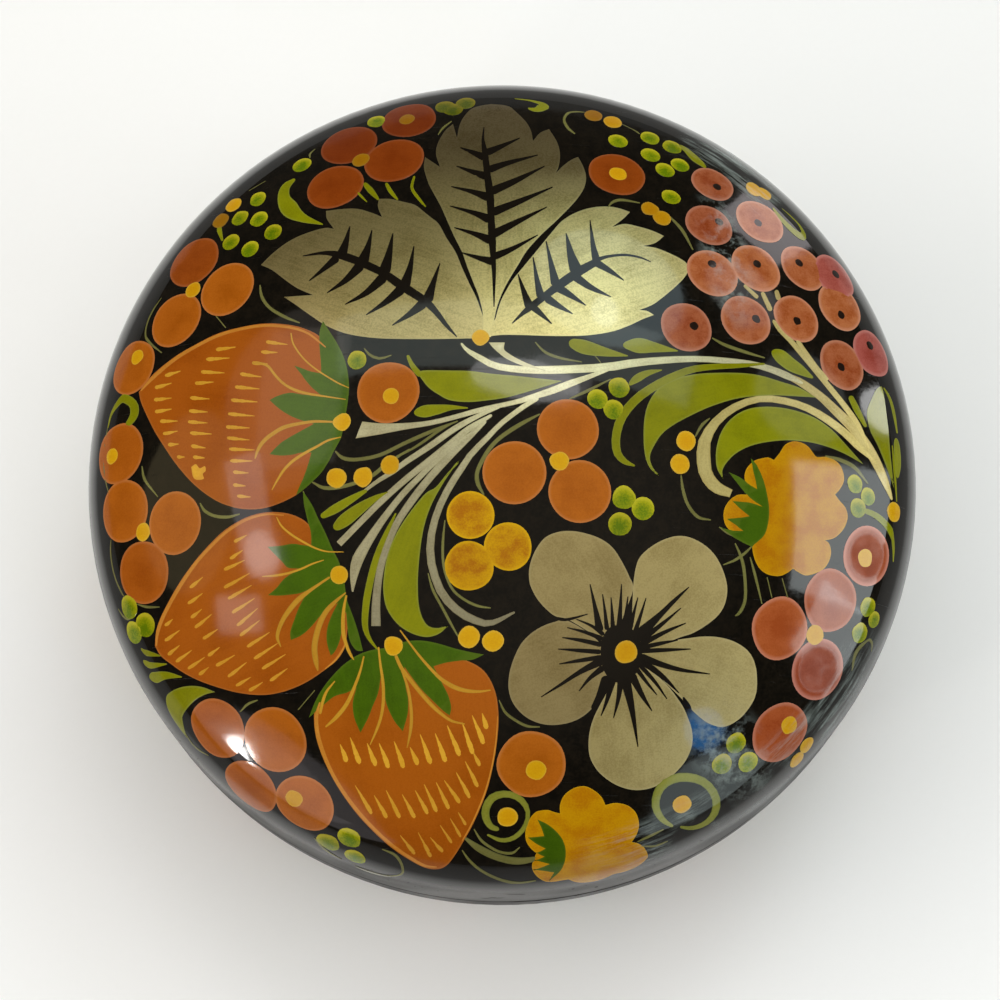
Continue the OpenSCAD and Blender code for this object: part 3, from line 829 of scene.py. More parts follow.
orange = paint("orange_paint", (172, 92, 18), (180, 108, 52), (152, 76, 6), rim_start=0.88, core=0.45,
               cloud=0.4, cloud_scale=420.0)
orange_berries = [
    (388, 392, 4.4), (568, 429, 4.25), (514.5, 472.5, 4.35), (580, 491.5, 4.3), (409, 120, 4.05),
    (349, 145, 4.2), (394, 160, 4.45), (335, 186.5, 4.25), (194, 262, 4.2), (227, 289, 4.35),
    (176, 320, 4.3), (131, 367, 4.15), (119, 453.5, 4.5), (124, 511, 4.45), (174.5, 523, 4.45),
    (143.5, 572.5, 4.45), (217, 729, 4.4), (275, 740, 4.7), (250, 788, 4.35), (304, 805, 4.4),
    (531.5, 764.5, 4.75), (780, 628.5, 4.4), (830.5, 600.5, 4.45), (818, 669.5, 4.35), (780.5, 733, 4.4),
    (867, 556, 4.25), (617, 174, 4.15)]
berry_painted_shade = {4: 0.0, 5: 0.12, 6: 0.3, 7: 0.34, 8: 0.45, 26: 0.38}
red_ones, worn_ones = (21, 22, 24), (23, 25)
orange_ones = [i for i in range(len(orange_berries)) if i not in red_ones + worn_ones]
finished("orange_berries", dabs(orange_berries, 28e-6, berry_blank, hair, orange_ones, berry_painted_shade),
         70e-6, orange)
red_orange = paint("red_orange_paint", (170, 86, 44), (188, 118, 92), (150, 66, 26), rim_start=0.84, core=0.5,
                   cloud=0.5, cloud_scale=420.0)
finished("red_berries", dabs(orange_berries, 28e-6, berry_blank, hair, red_ones),
         70e-6, red_orange)
worn_red = paint("worn_red_paint", (160, 78, 46), (196, 128, 110), (140, 60, 30), rim_start=0.8, core=0.6,
                 cloud=0.6, cloud_scale=420.0, dull=0.6)
finished("worn_red_berries", dabs(orange_berries, 28e-6, berry_blank, hair, worn_ones),
         70e-6, worn_red)


# Rowan berries hang in a cluster at the upper right. They are pinker than the others, and two by the rim are
# nearly crimson. Each is one dab, and has a small dark eye touched in when the dab was dry.
rowan = paint("rowan_red_paint", (174, 102, 62), (190, 128, 98), (146, 68, 26), rim_start=0.82, core=0.35,
              cloud=0.6, cloud_scale=560.0)
rowan_berries = [
    (712.5, 184, 3.25), (709, 225, 3.6), (760, 221.5, 3.85), (712.5, 273, 3.85), (756, 268, 3.9),
    (803, 268, 3.75), (842.5, 271, 3.75), (686.5, 327, 3.75), (746, 320, 3.85), (796.5, 318.5, 3.7),
    (840, 307, 3.85), (842, 365, 3.85), (878, 351, 3.6)]
# Some rowan berries are given darker tones as painted shade.
rowan_painted_shade = {0: 0.6, 1: 0.55, 7: 0.58, 11: 0.66}
crimson_ones = (6, 12)
rowan_ones = [i for i in range(len(rowan_berries)) if i not in crimson_ones]
finished("rowan_berries", dabs(rowan_berries, 28e-6, berry_blank, hair, rowan_ones, rowan_painted_shade),
         70e-6, rowan)
rowan_crimson = paint("rowan_crimson_paint", (170, 88, 77), (186, 116, 105), (146, 62, 48), rim_start=0.8,
                      core=0.4, cloud=0.5, cloud_scale=420.0)
finished("rowan_berries_rim", dabs(rowan_berries, 30e-6, berry_blank, which=crimson_ones),
         72e-6, rowan_crimson)
eye_brown = paint("dark_eye_paint", (34, 20, 12), (66, 38, 20), (20, 12, 8))
eye_radius = 0.72
rowan_eyes = [
    (717, 187), (719, 222), (758, 223), (712, 264), (757, 264), (799, 263), (845, 268), (694, 326),
    (756, 319), (797, 321), (841, 315), (841, 367), (876, 343)]
rowan_eyes = [(x, y, eye_radius) for x, y in rowan_eyes]
finished("rowan_eyes", dabs(rowan_eyes, 40e-6, dot_blank, uneven=0.05), 80e-6, eye_brown)


# Three strawberries lie on the left, each a broad filled shape in orange with an ochre line along its upper
# edge and rows of seeds, flicked in with the tip of a small brush: a round head and a tail. One seed has run.
strawberry_orange = paint("strawberry_orange_paint", (172, 92, 16), (176, 104, 38), (152, 76, 6),
                          rim_start=0.75, cloud=0.6, cloud_scale=120.0, streaks=0.15)
strawberry_1 = [
    [(139, 392), (147, 381), (158, 370), (175, 357), (195, 345), (217, 334), (240, 327.5), (265, 323.5),
     (290, 325), (308, 330), (322, 339), (333, 360), (340, 395), (340, 425), (333, 450), (320, 473),
     (303, 490), (287, 500), (265, 508), (243, 509), (222, 503.5), (205, 493.5), (190, 480.5), (176, 464),
     (165, 448), (155, 432), (147, 416), (141, 402)]]
strawberry_2 = [
    [(155, 646), (156, 634), (160, 620), (168, 603), (180, 582), (195, 561), (210, 544), (225, 530),
     (245, 518), (265, 512.5), (285, 513), (300, 518), (310, 526), (325, 545), (338, 575), (347, 615),
     (346, 642), (341, 652), (333.5, 662), (322, 672), (303, 684), (282, 692), (262, 695), (240, 693),
     (220, 688), (200, 681), (184, 673), (171, 664), (161, 656)]]
strawberry_3 = [
    [(316, 702), (314, 716), (316, 735), (322, 755), (331, 775), (343, 795), (358, 815), (375, 833),
     (392, 848), (410, 860), (425, 867.5), (438, 869), (447, 865), (455, 855), (463, 842), (471, 828),
     (479, 811), (487, 790), (493, 766), (497, 741), (498.5, 715), (495, 691), (484, 671), (465, 660),
     (440, 655), (400, 648), (365, 657), (335, 675)]]
finished("strawberries", [
    filled(strawberry_1, lift=28e-6, tip=((340, 422), (140, 392)), tone=0.64),
    filled(strawberry_2, lift=28.3e-6, tip=((338, 575), (156, 646)), tone=0.7),
    filled(strawberry_3, lift=28.6e-6, tip=((393, 646), (438, 869)), tone=0.74)],
    70e-6, strawberry_orange)
edge_ochre = paint("strawberry_edge_paint", (200, 134, 48), (186, 116, 44), (184, 116, 34), rim_start=0.5,
                   streaks=0.3)
edge_lines = [
    [(141, 391, 1.5), (149, 382, 3.2), (160, 371.5, 4), (176, 358.5, 4), (196, 346.5, 3.6),
     (218, 335.8, 3.4), (240, 329.3, 3.4), (265, 325.6, 3.2), (290, 327.5, 3), (307, 332.8, 2.6),
     (317, 340, 2.4), (326, 347.5, 1.2)],
    [(156.5, 646, 1.5), (157.5, 634, 3.4), (161.5, 621, 4), (169.5, 604.5, 4), (181.5, 584, 4),
     (196.5, 562.5, 3.6), (211.5, 546, 3.4), (226.5, 532, 3.2), (246, 520, 2.8), (266, 514.5, 2.2),
     (284, 515.2, 1.2)],
    [(320, 702, 2), (316.5, 717, 4), (318, 735, 4.6), (324, 754.5, 4.4), (333, 774.5, 4), (345, 794, 4),
     (360, 813.5, 3.8), (377, 831.5, 3.6), (393.5, 846, 3.2), (411, 858, 3.2), (425, 865.5, 2.6),
     (437, 867, 1.2)],
    [(325, 669, 1.2), (335, 660.5, 2.2), (342, 651, 2.2), (346.5, 641, 1.2)],
    [(497.6, 716, 1), (496, 741, 1.6), (492, 766, 1.8), (486, 789, 1.8), (478, 810, 1.6), (470, 827, 1.4),
     (462, 841, 1)]]
finished("strawberry_edges", strokes(edge_lines, lift=36e-6), 78e-6, edge_ochre)


def seed(head, tail, fat=0.95, tone=0.66):
    """A seed: a round head, widest just behind it, and a tail that runs out thin."""
    head, tail = np.array(head), np.array(tail)
    widths = ((0.0, 4.8 * fat), (0.28, 5.2 * fat), (0.6, 3.4 * fat), (1.0, 0.8))
    path = [(*(head + (tail - head) * along), wide) for along, wide in widths]
    return stroke(path, lift=38e-6, strip=short_strip, tone=tone)


strawberry_yellow = paint("strawberry_yellow_paint", (216, 162, 48), (202, 142, 48), (202, 146, 32),
                          rim_start=0.55, streaks=0.2)
seeds_1 = [
    ((165, 376), (181, 371)), ((155, 388), (172, 383)), ((154, 400), (172, 398)), ((155, 412), (172, 409)),
    ((160, 421.5), (178, 421)), ((163, 434), (178, 431)), ((168, 445), (179, 444)),
    ((177, 457), (185, 457)), ((216, 350), (236, 347)), ((206, 359.5), (230, 358)),
    ((201, 372), (225, 373)), ((195, 383.5), (214, 382)), ((190, 398), (210, 399)),
    ((189, 411), (208, 412)), ((188, 422), (208, 423)), ((190, 433), (212, 434)), ((191, 446), (206, 448)),
    ((193, 457), (205, 458)), ((266, 342), (288, 344.5)), ((261, 352), (278, 352.5)),
    ((252, 363), (268, 364)), ((240, 374), (262, 377)), ((235, 387), (260, 389)), ((231, 400), (258, 402)),
    ((228, 414), (255, 416)), ((226, 427), (250, 428)), ((227, 438), (250, 440)), ((229, 449), (255, 450)),
    ((230, 461), (253, 461)), ((233, 472), (249, 473)), ((233, 485), (246, 486)), ((237, 496), (251, 497))]
seeds_2 = [
    ((190, 588), (203, 577)), ((188, 604), (203, 593)), ((191, 618), (202, 609)), ((195, 628), (212, 614)),
    ((203, 639), (218, 629)), ((165, 626), (173, 619)), ((165, 641), (180, 630)), ((168, 655), (180, 645)),
    ((176, 662), (192, 650)), ((188, 669), (205, 657)), ((199, 675), (209, 667)), ((208, 656), (220, 647)),
    ((216, 666), (235, 655)), ((228, 677), (247, 662)), ((236, 686), (251, 677)), ((249, 691), (263, 682)),
    ((224, 570), (245, 560)), ((230, 559), (243, 550)), ((234, 542), (247, 535)), ((224, 588), (250, 573)),
    ((228, 599), (252, 585)), ((232, 613), (255, 598)), ((237, 626), (258, 608)), ((240, 636), (260, 620)),
    ((247, 647), (270, 632)), ((254, 659), (278, 643)), ((262, 669), (286, 654)), ((270, 681), (288, 668))]
seeds_3 = [
    ((347, 762), (340, 744)), ((360, 764), (350, 737)), ((376, 766), (367, 743)), ((389, 768), (379, 743)),
    ((404, 768), (394, 741)), ((418, 765), (410, 747)), ((431, 764), (420, 734)), ((446, 762), (435, 733)),
    ((460, 756), (447, 725)), ((473, 754), (462, 722)), ((484, 744), (472, 715)), ((487, 729), (482, 713)),
    ((372, 814), (355, 785)), ((387, 818), (374, 795)), ((400, 818), (386, 790)), ((415, 818), (402, 794)),
    ((428, 814), (415, 790)), ((437, 812), (424, 784)), ((449, 809), (436, 782)), ((460, 803), (444, 780)),
    ((470, 798), (456, 772)), ((478, 787), (465, 761)), ((480, 766), (473, 752)), ((415, 854), (400, 835)),
    ((431, 857), (418, 832)), ((443, 852), (430, 837)), ((452, 843), (440, 825)), ((461, 837), (450, 818)),
    ((466, 825), (458, 812))]
rows_3 = [(1.5, 0.95)] * 12 + [(1.2, 0.72)] * 11 + [(0.8, 0.58)] * 6
blotch = [
    [(191, 467), (196, 464), (200, 468), (205, 466), (206, 471), (203, 474), (204, 479), (197, 480),
     (193, 477)]]
seeds = [seed(head, tail) for head, tail in seeds_1 + seeds_2]
seeds += [seed(head, tail, fat, tone) for (head, tail), (fat, tone) in zip(seeds_3, rows_3)]
finished("strawberry_seeds", seeds + [filled(blotch, lift=38e-6, edge=0.6, soft=4.0)],
         80e-6, strawberry_yellow)


# Each strawberry wears a ruff of sepals. It is painted over the fruit as one shape with deep notches, in a
# darker green than the leaves, and streaked faintly by the brush.
sepal_green = paint("sepal_green_paint", (68, 96, 4), (76, 98, 18), (54, 80, 1), cloud=0.5, streaks=0.25)
sepals_1 = [
    [(323, 321), (330, 332), (337, 343), (343, 355), (347, 368), (349, 385), (348, 400), (346, 413),
     (343, 428), (341, 438), (334, 451), (329, 461), (321, 473), (312, 482), (303, 490)],
    [(296, 495), (299, 487), (303, 478), (307, 467)], [(311, 453), (301, 453), (293, 455), (281, 456)],
    [(269, 454.5), (276, 447), (283, 441), (293, 435), (302, 430)],
    [(313, 424), (301, 420.5), (290, 416), (279, 409)],
    [(269, 400), (278, 395.5), (290, 392.5), (301, 394)],
    [(322, 396.5), (312, 388), (305, 380), (300, 373)], [(293, 365), (301, 367.5), (310, 371)],
    [(321, 373), (320.5, 362), (319.5, 350), (319, 340), (320, 330)]]
sepals_2 = [
    [(303, 491), (312, 505), (318, 518), (325, 532), (332, 548), (339, 562), (344, 580), (346.5, 598),
     (351, 611), (355, 622), (359, 635)],
    [(363, 651), (356, 650), (350, 641), (347.5, 628)], [(346, 612), (343, 626), (340, 641), (335, 652)],
    [(330.5, 656), (326.5, 642), (327, 628), (331.5, 615)],
    [(337, 604), (326, 610), (319, 618), (310.5, 628), (301, 636)],
    [(290.5, 640.5), (290, 632), (293.5, 621), (298, 609), (303, 599)],
    [(309, 590), (300, 593.5), (290.5, 595), (279, 596)],
    [(267, 595.5), (276, 588), (283.5, 579), (292, 573)], [(300, 569), (288, 568), (282, 562), (274, 554)],
    [(267, 546.5), (280, 545.5), (292, 543.5), (301, 544.5)],
    [(311, 546), (310.5, 533), (307, 518), (304, 504)]]
sepals_3 = [
    [(386, 648), (403, 642), (421, 640.5), (438, 643.5), (455, 648.5), (470, 652)],
    [(484, 654.5), (473, 659.5), (460, 661), (446, 663)],
    [(434, 666.5), (443, 684), (448.5, 695), (451.5, 707)],
    [(450, 716), (443, 711), (431, 699.5), (421, 689.5), (412, 678)],
    [(405, 668), (406, 686), (408.5, 699), (408, 714)], [(403, 732), (394, 721), (387, 706.5), (384, 694)],
    [(381, 678), (378.5, 693), (373, 706.5), (368.5, 718)],
    [(360.5, 733.5), (354.5, 719.5), (352.5, 708), (353, 699)],
    [(356, 688), (347, 693), (335, 696.5), (324, 705)],
    [(309, 717.5), (315.5, 701), (324, 686.5), (336, 672), (347, 662), (360, 654), (374, 649.5)]]
finished("sepals", [
    filled(sepals_1, lift=34e-6, tip=((342, 422), (290, 415)), edge=0.6),
    filled(sepals_2, lift=34e-6, tip=((340, 575), (290, 590)), edge=0.6),
    filled(sepals_3, lift=34e-6, tip=((393, 646), (400, 730)), edge=0.6)], 75e-6, sepal_green)


# Curved ochre veins run from each ruff's middle out between the sepals and over the fruit. They are thin
# lines of thick paint, drawn over the ruffs and the seeds when both were dry.
vein_ochre = paint("ochre_vein_paint", (196, 146, 40), (170, 132, 44), (180, 128, 26), rim_start=0.5,
                   streaks=0.2)
vein_thin = 0.68
sepal_veins = [
    [(255, 459, 2), (258, 450, 5), (264, 441, 6), (274, 433, 6), (285, 427, 6), (300, 423.5, 5),
     (315, 421.5, 4.5), (335, 422, 3)],
    [(272, 490, 1.5), (277, 481, 3), (284, 470, 4), (293, 461, 4.5), (305, 453, 4.5), (318, 446, 4),
     (328, 440.5, 3.5), (341, 437, 1.5)],
    [(252, 363, 3), (263, 364, 4), (269, 367, 4), (275, 375, 4), (284, 384, 4), (295, 390, 4.5),
     (307, 393.5, 4), (322, 396, 3), (346, 399.5, 1.5)],
    [(291, 333, 2), (293, 343, 2.5), (299, 353, 2.5), (307, 362, 2.5), (317, 370, 2.5), (327, 376.5, 2.5),
     (338, 383, 2.5), (349, 388, 1.5)],
    [(330, 577, 3.5), (318, 585, 4.5), (308, 592, 6), (299, 599, 8), (291, 608, 8), (284, 618, 7),
     (279, 629, 6), (277.5, 638, 5), (281, 647, 1.5)],
    [(346, 592.5, 2), (335, 602, 6), (326.5, 611, 8), (320.5, 622, 8.5), (316.5, 635, 9), (314.5, 648, 9),
     (316, 661, 8), (318, 671, 2)],
    [(346.5, 595, 3), (344, 608, 5), (343, 621, 6), (343.5, 634, 6), (346.5, 645, 5), (350, 653.5, 4.5),
     (354, 660, 1.5)],
    [(262, 576.5, 1.5), (276, 575.5, 3.5), (289, 573, 3.5), (301, 569, 3.5), (312, 564, 3),
     (324, 560, 1.5)],
    [(276.5, 517, 1.5), (282, 526.5, 3), (292, 535, 3.5), (303.5, 542, 3.5), (315, 548, 3),
     (327, 551.5, 2.5), (344, 552, 1)],
    [(400, 630, 2), (410, 643.5, 3), (420, 656.5, 4), (431, 669, 5), (441, 679, 6), (453, 686.5, 7),
     (465, 690.5, 6), (479, 691.5, 4), (491, 690, 2)],
    [(395.5, 655, 5), (401.5, 668, 6), (410, 679.5, 6), (420, 692, 6), (431.5, 705, 6), (441.5, 714, 5),
     (452, 721, 4), (465, 724, 2)],
    [(401, 668, 3), (407, 685, 4), (410, 699, 4.5), (411.5, 716, 5), (410.5, 731, 4.5), (407, 748, 1.5)],
    [(378.5, 647, 3), (380.5, 665, 4), (383, 682, 5), (383.5, 699, 5), (381.5, 715, 4.5), (377, 729, 4),
     (370, 745, 1.5)],
    [(364, 656, 2.5), (360, 672, 4), (354, 688, 5), (347, 703.5, 6), (337, 716.5, 6), (325.5, 727, 2.5)],
    [(335, 681, 2), (327, 691, 4), (323, 701, 5), (320, 714, 4)]]
sepal_veins = [[(x, y, vein_thin * wide) for x, y, wide in path] for path in sepal_veins]
finished("sepal_veins", strokes(sepal_veins, lift=42e-6), 85e-6, vein_ochre)


# Yellow berries are a group of three amber dabs near the middle, and two cloudberries, whose round lobes are
# painted as one lumpy shape. A small toothed calyx in dark green is laid over each cloudberry's root.
amber = paint("amber_berry_paint", (196, 146, 0), (204, 156, 4), (164, 98, 0), rim_start=0.84, core=0.35,
              cloud=0.7, cloud_scale=420.0)
amber_berries = [(470.5, 515, 3.25), (508, 546.5, 3.25), (469, 566, 3.35)]
amber_tones = {i: 0.95 - 0.08 * i for i in range(3)}
finished("amber_berries", dabs(amber_berries, 29e-6, berry_blank, 2 * hair, tones=amber_tones),
         70e-6, amber)
yellow_berry = paint("yellow_berry_paint", (194, 140, 3), (200, 150, 16), (176, 110, 2), rim_start=0.84,
                     core=0.2, cloud=0.7, cloud_scale=310.0)
cloudberry_1 = [
    [(761, 458.5), (754, 461), (747, 468), (744.5, 476), (746, 484), (749, 490)],
    [(746, 494.5), (737.5, 495), (730, 500), (725, 507.5), (723.5, 516), (725.5, 525), (731, 531),
     (742, 538)],
    [(752.5, 543), (752.5, 550), (755, 560), (760, 569), (768, 574.5), (779, 576), (787, 573)],
    [(793, 568.5), (798, 572), (806, 575.5), (816, 573), (824, 568.5), (829, 561), (831, 552),
     (829, 543.5)],
    [(825, 540.5), (835, 537.5), (843.5, 529), (847.5, 518), (845.5, 508), (839, 500)],
    [(835, 494.5), (840, 489), (844, 480), (842, 469), (836.5, 461.5), (827, 457), (817, 457)],
    [(813, 453), (808, 446.5), (801, 442.5), (792.5, 441.5), (785, 445), (780, 452.5)],
    [(774, 460), (768, 457.5)]]
cloudberry_2 = [
    [(531.5, 816), (537, 811.5), (547, 810), (554, 812)],
    [(560, 813.5), (560, 805), (563, 797), (569, 791), (577, 787), (586, 786.5), (595, 791), (601.5, 797)],
    [(605.5, 805), (615, 803), (625, 804.5), (632, 808.5), (637, 815), (639, 825), (636.5, 834.5)],
    [(631.5, 842), (638, 843.5), (644.5, 848), (648, 857), (645, 866), (638, 874), (628, 879)],
    [(615, 881), (608, 886), (598, 890.5), (586, 891), (576, 887.5)],
    [(569, 880.5), (562, 881.5), (551.5, 883), (541.5, 879.5), (535, 874), (532, 867), (533.5, 860)],
    [(536.5, 853), (530.5, 848), (526, 840.5), (525.5, 831.5), (528, 823)]]
finished("cloudberries", [
    filled(cloudberry_1, lift=28e-6, tip=((769, 510), (846, 510)), soft=7.0),
    filled(cloudberry_2, lift=28e-6, tip=((566, 850), (648, 857)), soft=7.0, step=2.2)],
    70e-6, yellow_berry)
calyx_green = paint("calyx_green_paint", (64, 92, 6), (78, 100, 20), (48, 76, 0), streaks=0.2)
calyx_1 = [
    [(751, 458.5), (757, 465), (763, 478), (767, 492), (769.4, 508), (768.5, 523), (764, 536)],
    [(752, 547), (741, 541.5), (731, 535.5)], [(720.5, 527.5), (731, 530)], [(742, 530.5), (735, 525)],
    [(725.5, 518.5), (738, 517.5)], [(748.5, 516), (740, 509)], [(731, 500.5), (743, 501.5), (751, 502.5)],
    [(760, 505.5), (752, 500), (746, 494), (738, 484)], [(728.5, 472), (740, 477.5), (750, 484.5)],
    [(756.5, 488.5), (755, 480), (752.5, 470)]]
calyx_2 = [
    [(536.5, 818.5), (548, 824), (557, 831.5), (563, 839.5), (566, 849), (565.5, 860), (562, 869),
     (556, 875.5)],
    [(548, 881.5), (551, 876.5)], [(553.5, 872.5), (543, 871)], [(532.5, 869.5), (541, 867)],
    [(548.5, 864), (541, 862)], [(534, 860), (539, 858.5)], [(543.5, 856.5), (540, 855)],
    [(536, 852.5), (540, 851)], [(544.5, 848.5), (536, 844)], [(526.5, 837), (535, 836.5)],
    [(543.5, 835.5), (541, 828)]]
finished("calyxes", [
    filled(calyx_1, lift=36e-6, tip=((768, 510), (725, 510)), edge=0.9),
    filled(calyx_2, lift=36e-6, tip=((566, 850), (527, 850)), edge=0.8, step=2.2)],
    78e-6, calyx_green)


# Small round dots finish the pattern: yellow ones where stems and sepals meet and on the berries, and green
# ones, deeper at their foot, in loose threes. They are single touches of a loaded brush and stand up.
# Two pale green curls near the front, each one turn of the brush, lie round a yellow dot.
dot_yellow = paint("yellow_dot_paint", (210, 160, 14), (206, 162, 50), (198, 138, 6), rim_start=0.75,
                   core=0.3)
yellow_dots = [
    (391, 396, 1.2), (407, 119.5, 1.25), (361, 160, 1.35), (193, 290, 1.3), (137, 357, 1.2),
    (110, 456, 1.2), (143, 532, 1.3), (294, 798.5, 1.35), (536, 770, 1.5), (815, 635, 1.45),
    (789, 725, 1.35), (865, 558, 1.4), (618, 174, 1.4), (559.5, 461, 1.33), (336.5, 478, 1.42),
    (363, 477, 1.36), (390, 465, 1.32), (342, 422, 1.28), (339, 575, 1.3), (393.5, 646, 1.34),
    (469, 637, 1.5), (493, 641, 1.46), (686, 441, 1.42), (680, 464, 1.4), (594, 113, 1.35), (613, 121, 1.4),
    (650, 209, 1.3), (662, 218, 1.35), (759, 183, 1.35), (772, 184.5, 1.2), (894.5, 512, 1.42),
    (507.5, 817, 1.45), (682, 804.3, 1.36), (626, 652, 1.58), (480.5, 337.5, 1.2), (228, 199, 1.3),
    (217, 217, 1.35), (810, 748, 1.3), (802, 764.5, 1.3)]
# Dots at the top are given darker tones as painted shade.
yellow_dot_painted_shade = {1: 0.05, 2: 0.22, 24: 0.13, 26: 0.43, 27: 0.5, 36: 0.12}
finished("yellow_dots", dabs(yellow_dots, 50e-6, dot_blank, tones=yellow_dot_painted_shade, uneven=0.03),
         95e-6, dot_yellow)
dot_green = paint("green_dot_paint", (166, 162, 12), (182, 172, 36), (92, 116, 0), rim_start=0.66, core=0.95,
                  cloud=0.3, cloud_scale=500.0)
green_dots = [
    (258, 199, 1.35), (240, 218, 1.35), (259, 219, 1.4), (273, 232, 1.4), (231, 242, 1.4), (250, 249, 1.4),
    (374, 114, 1.4), (302, 165, 1.45), (444, 101, 1.45), (453, 108, 1.5), (465, 96, 1.45), (618, 141, 1.45),
    (650, 138, 1.45), (650.5, 155, 1.45), (672, 147, 1.45), (665, 170, 1.45), (680, 165, 1.4),
    (671, 197, 1.4), (357, 360, 1.38), (619, 387.5, 1.48), (597.5, 399, 1.42), (613.5, 409.5, 1.42),
    (624, 497.5, 1.62), (643, 508.5, 1.6), (620, 524, 1.62), (855, 484, 1.35), (868, 496.5, 1.3),
    (858, 508, 1.4), (129, 607, 1.7), (145, 625, 1.75), (130, 634, 1.65), (328, 842.5, 1.75),
    (349, 838, 1.7), (354, 859.5, 1.6), (736, 743, 1.5), (722, 764, 1.5), (748, 762, 1.5), (868, 607, 1.4),
    (875, 620, 1.2), (860, 633, 1.45)]
# The green dots at the top are given darker tones as painted shade.
green_dot_painted_shade = {8: 0.0, 9: 0.0, 10: 0.1}
finished("green_dots", dabs(green_dots, 32e-6, dot_blank, tones=green_dot_painted_shade, uneven=0.03, lean=0.32),
         75e-6, dot_green)
curl_green = paint("pale_olive_line_paint", (134, 134, 48), (112, 116, 46), (112, 116, 30), rim_start=0.6,
                   streaks=0.3)
curls = [
    [(673, 826.5, 3), (663, 820, 6), (657, 811, 7.5), (655.5, 802, 8), (658.5, 791, 8.5), (665, 783, 9),
     (676, 778, 9), (689, 777.4, 9), (701, 780.5, 8.5), (710, 787.5, 8.3), (715.5, 797, 8.3),
     (716.5, 806, 8), (713, 816, 6.5), (704, 824, 5), (692, 828, 4), (680, 827, 2.5)],
    [(499, 829.5, 4), (491, 826.5, 6), (486, 818, 7.5), (486, 808, 8), (492, 798, 8), (503, 794, 7),
     (515, 796, 6.5), (524, 803, 6), (528, 813, 4.5), (526, 824, 4.5), (520, 833, 5), (511, 839, 4.5),
     (500, 840, 4), (487, 834.5, 2)]]
finished("curls", strokes(curls, lift=20e-6), 60e-6, curl_green)


# The body's side has a band of the same berries and leaves under the seam, on a gold vine that waves round
# it. The band is one short stretch, painted ten times over. Places on it are in millimetres, round the body
# and down from the seam.
body_reach = 60.0
side_radius, wall_below_seam = 25.893, 4.0
side_centre_r, side_top = 0.034107, 0.026


def round_body(spots):
    """The places on the body's side at these spots: a short straight wall, and a round side under it."""
    spots = np.array(spots, float)
    turn = spots[:, 0] / body_reach
    bend = np.maximum(spots[:, 1] - wall_below_seam, 0.0) / side_radius
    r = side_centre_r + 1e-3 * side_radius * np.cos(bend)
    z = side_top - 1e-3 * side_radius * np.sin(bend) + 1e-3 * np.maximum(wall_below_seam - spots[:, 1], 0.0)
    across = np.stack([np.cos(turn), np.sin(turn)], 1)
    facing = np.column_stack([across * np.cos(bend)[:, None], -np.sin(bend)])
    return np.column_stack([across * r[:, None], z]), facing


def body_skin(points):
    """The body's side, as lid_skin gives the lid's outside."""
    return turned_skin(points, side_centre_r, np.maximum(points[:, 2], side_top), 1e-3 * side_radius)


def banded(name, films, thick, colour):
    """Finishes the films of one stretch with their copies, set round the body in ten places."""
    for film in list(films):
        for k in range(1, 10):
            again = copy_of(film)
            again.data.transform(Matrix.Rotation(2 * pi * k / 10, 4, "Z"))
            films.append(again)
    finished(name, films, thick, colour, "box", body_skin)


on_band = {"strip": long_strip, "sheet": round_body}
on_side = {"sheet": round_body, "skin": body_skin}
band_vine = [
    (-0.4, 18.3, 1.0), (3, 16.3, 1.15), (7, 14.6, 1.25), (11, 14.4, 1.3), (15, 16.0, 1.3),
    (18.85, 18.4, 1.2), (23, 21, 1.25), (27, 22.6, 1.3), (31, 22.4, 1.25), (34.5, 20.6, 1.15),
    (38.1, 18.1, 1.0)]
banded("body_vine", strokes([band_vine], 20e-6, **on_band), 60e-6, stem_gold)
band_leaves = [
    [(17, 17.4, 0.7), (18.8, 21.4, 2.4), (19.2, 25.2, 2.3), (17.6, 28.4, 0.3)],
    [(3.4, 16.6, 0.6), (1.2, 20.4, 2.2), (0.9, 24.4, 2.0), (2.4, 27.8, 0.3)],
    [(21.4, 19.8, 0.6), (22.4, 15.6, 2.6), (25, 12.4, 2.5), (28.6, 11, 0.3)],
    [(24.6, 21.4, 0.5), (26.6, 18.0, 2.0), (29.0, 15.8, 1.8), (31.6, 14.8, 0.3)],
    [(33.6, 21.0, 0.5), (36.0, 23.2, 1.6), (36.6, 26.0, 1.5), (35.6, 28.4, 0.3)]]
banded("body_leaves", strokes(band_leaves, 24e-6, **on_band), 65e-6, olive)
band_tendrils = [
    [(21, 20.6, 0.3), (23.4, 24.6, 0.45), (27.4, 27.0, 0.5), (31.4, 26.6, 0.45), (32.6, 24.8, 0.3)],
    [(6.4, 14.5, 0.3), (9.4, 11.6, 0.45), (13.6, 10.4, 0.5), (17.4, 11.4, 0.4), (18.4, 13.2, 0.3)]]
banded("body_tendrils", strokes(band_tendrils, 16e-6, **on_band), 50e-6, tendril_grey)
band_berries = [(6.6, 19.6, 2.85), (13.2, 19.9, 2.85), (9.8, 25.4, 2.85)]
banded("body_berries", dabs(band_berries, 28e-6, berry_blank, **on_side), 70e-6, orange)
band_yellow = [(9.9, 21.8, 0.95), (18.6, 14.6, 0.75), (32.4, 24.0, 0.75)]
banded("body_yellow_dots", dabs(band_yellow, 46e-6, dot_blank, **on_side), 90e-6, dot_yellow)
band_green = [(32.8, 12.4, 0.95), (35.0, 13.6, 0.95), (33.0, 14.9, 0.95)]
banded("body_green_dots", dabs(band_green, 32e-6, dot_blank, lean=0.28, **on_side),
       75e-6, dot_green)
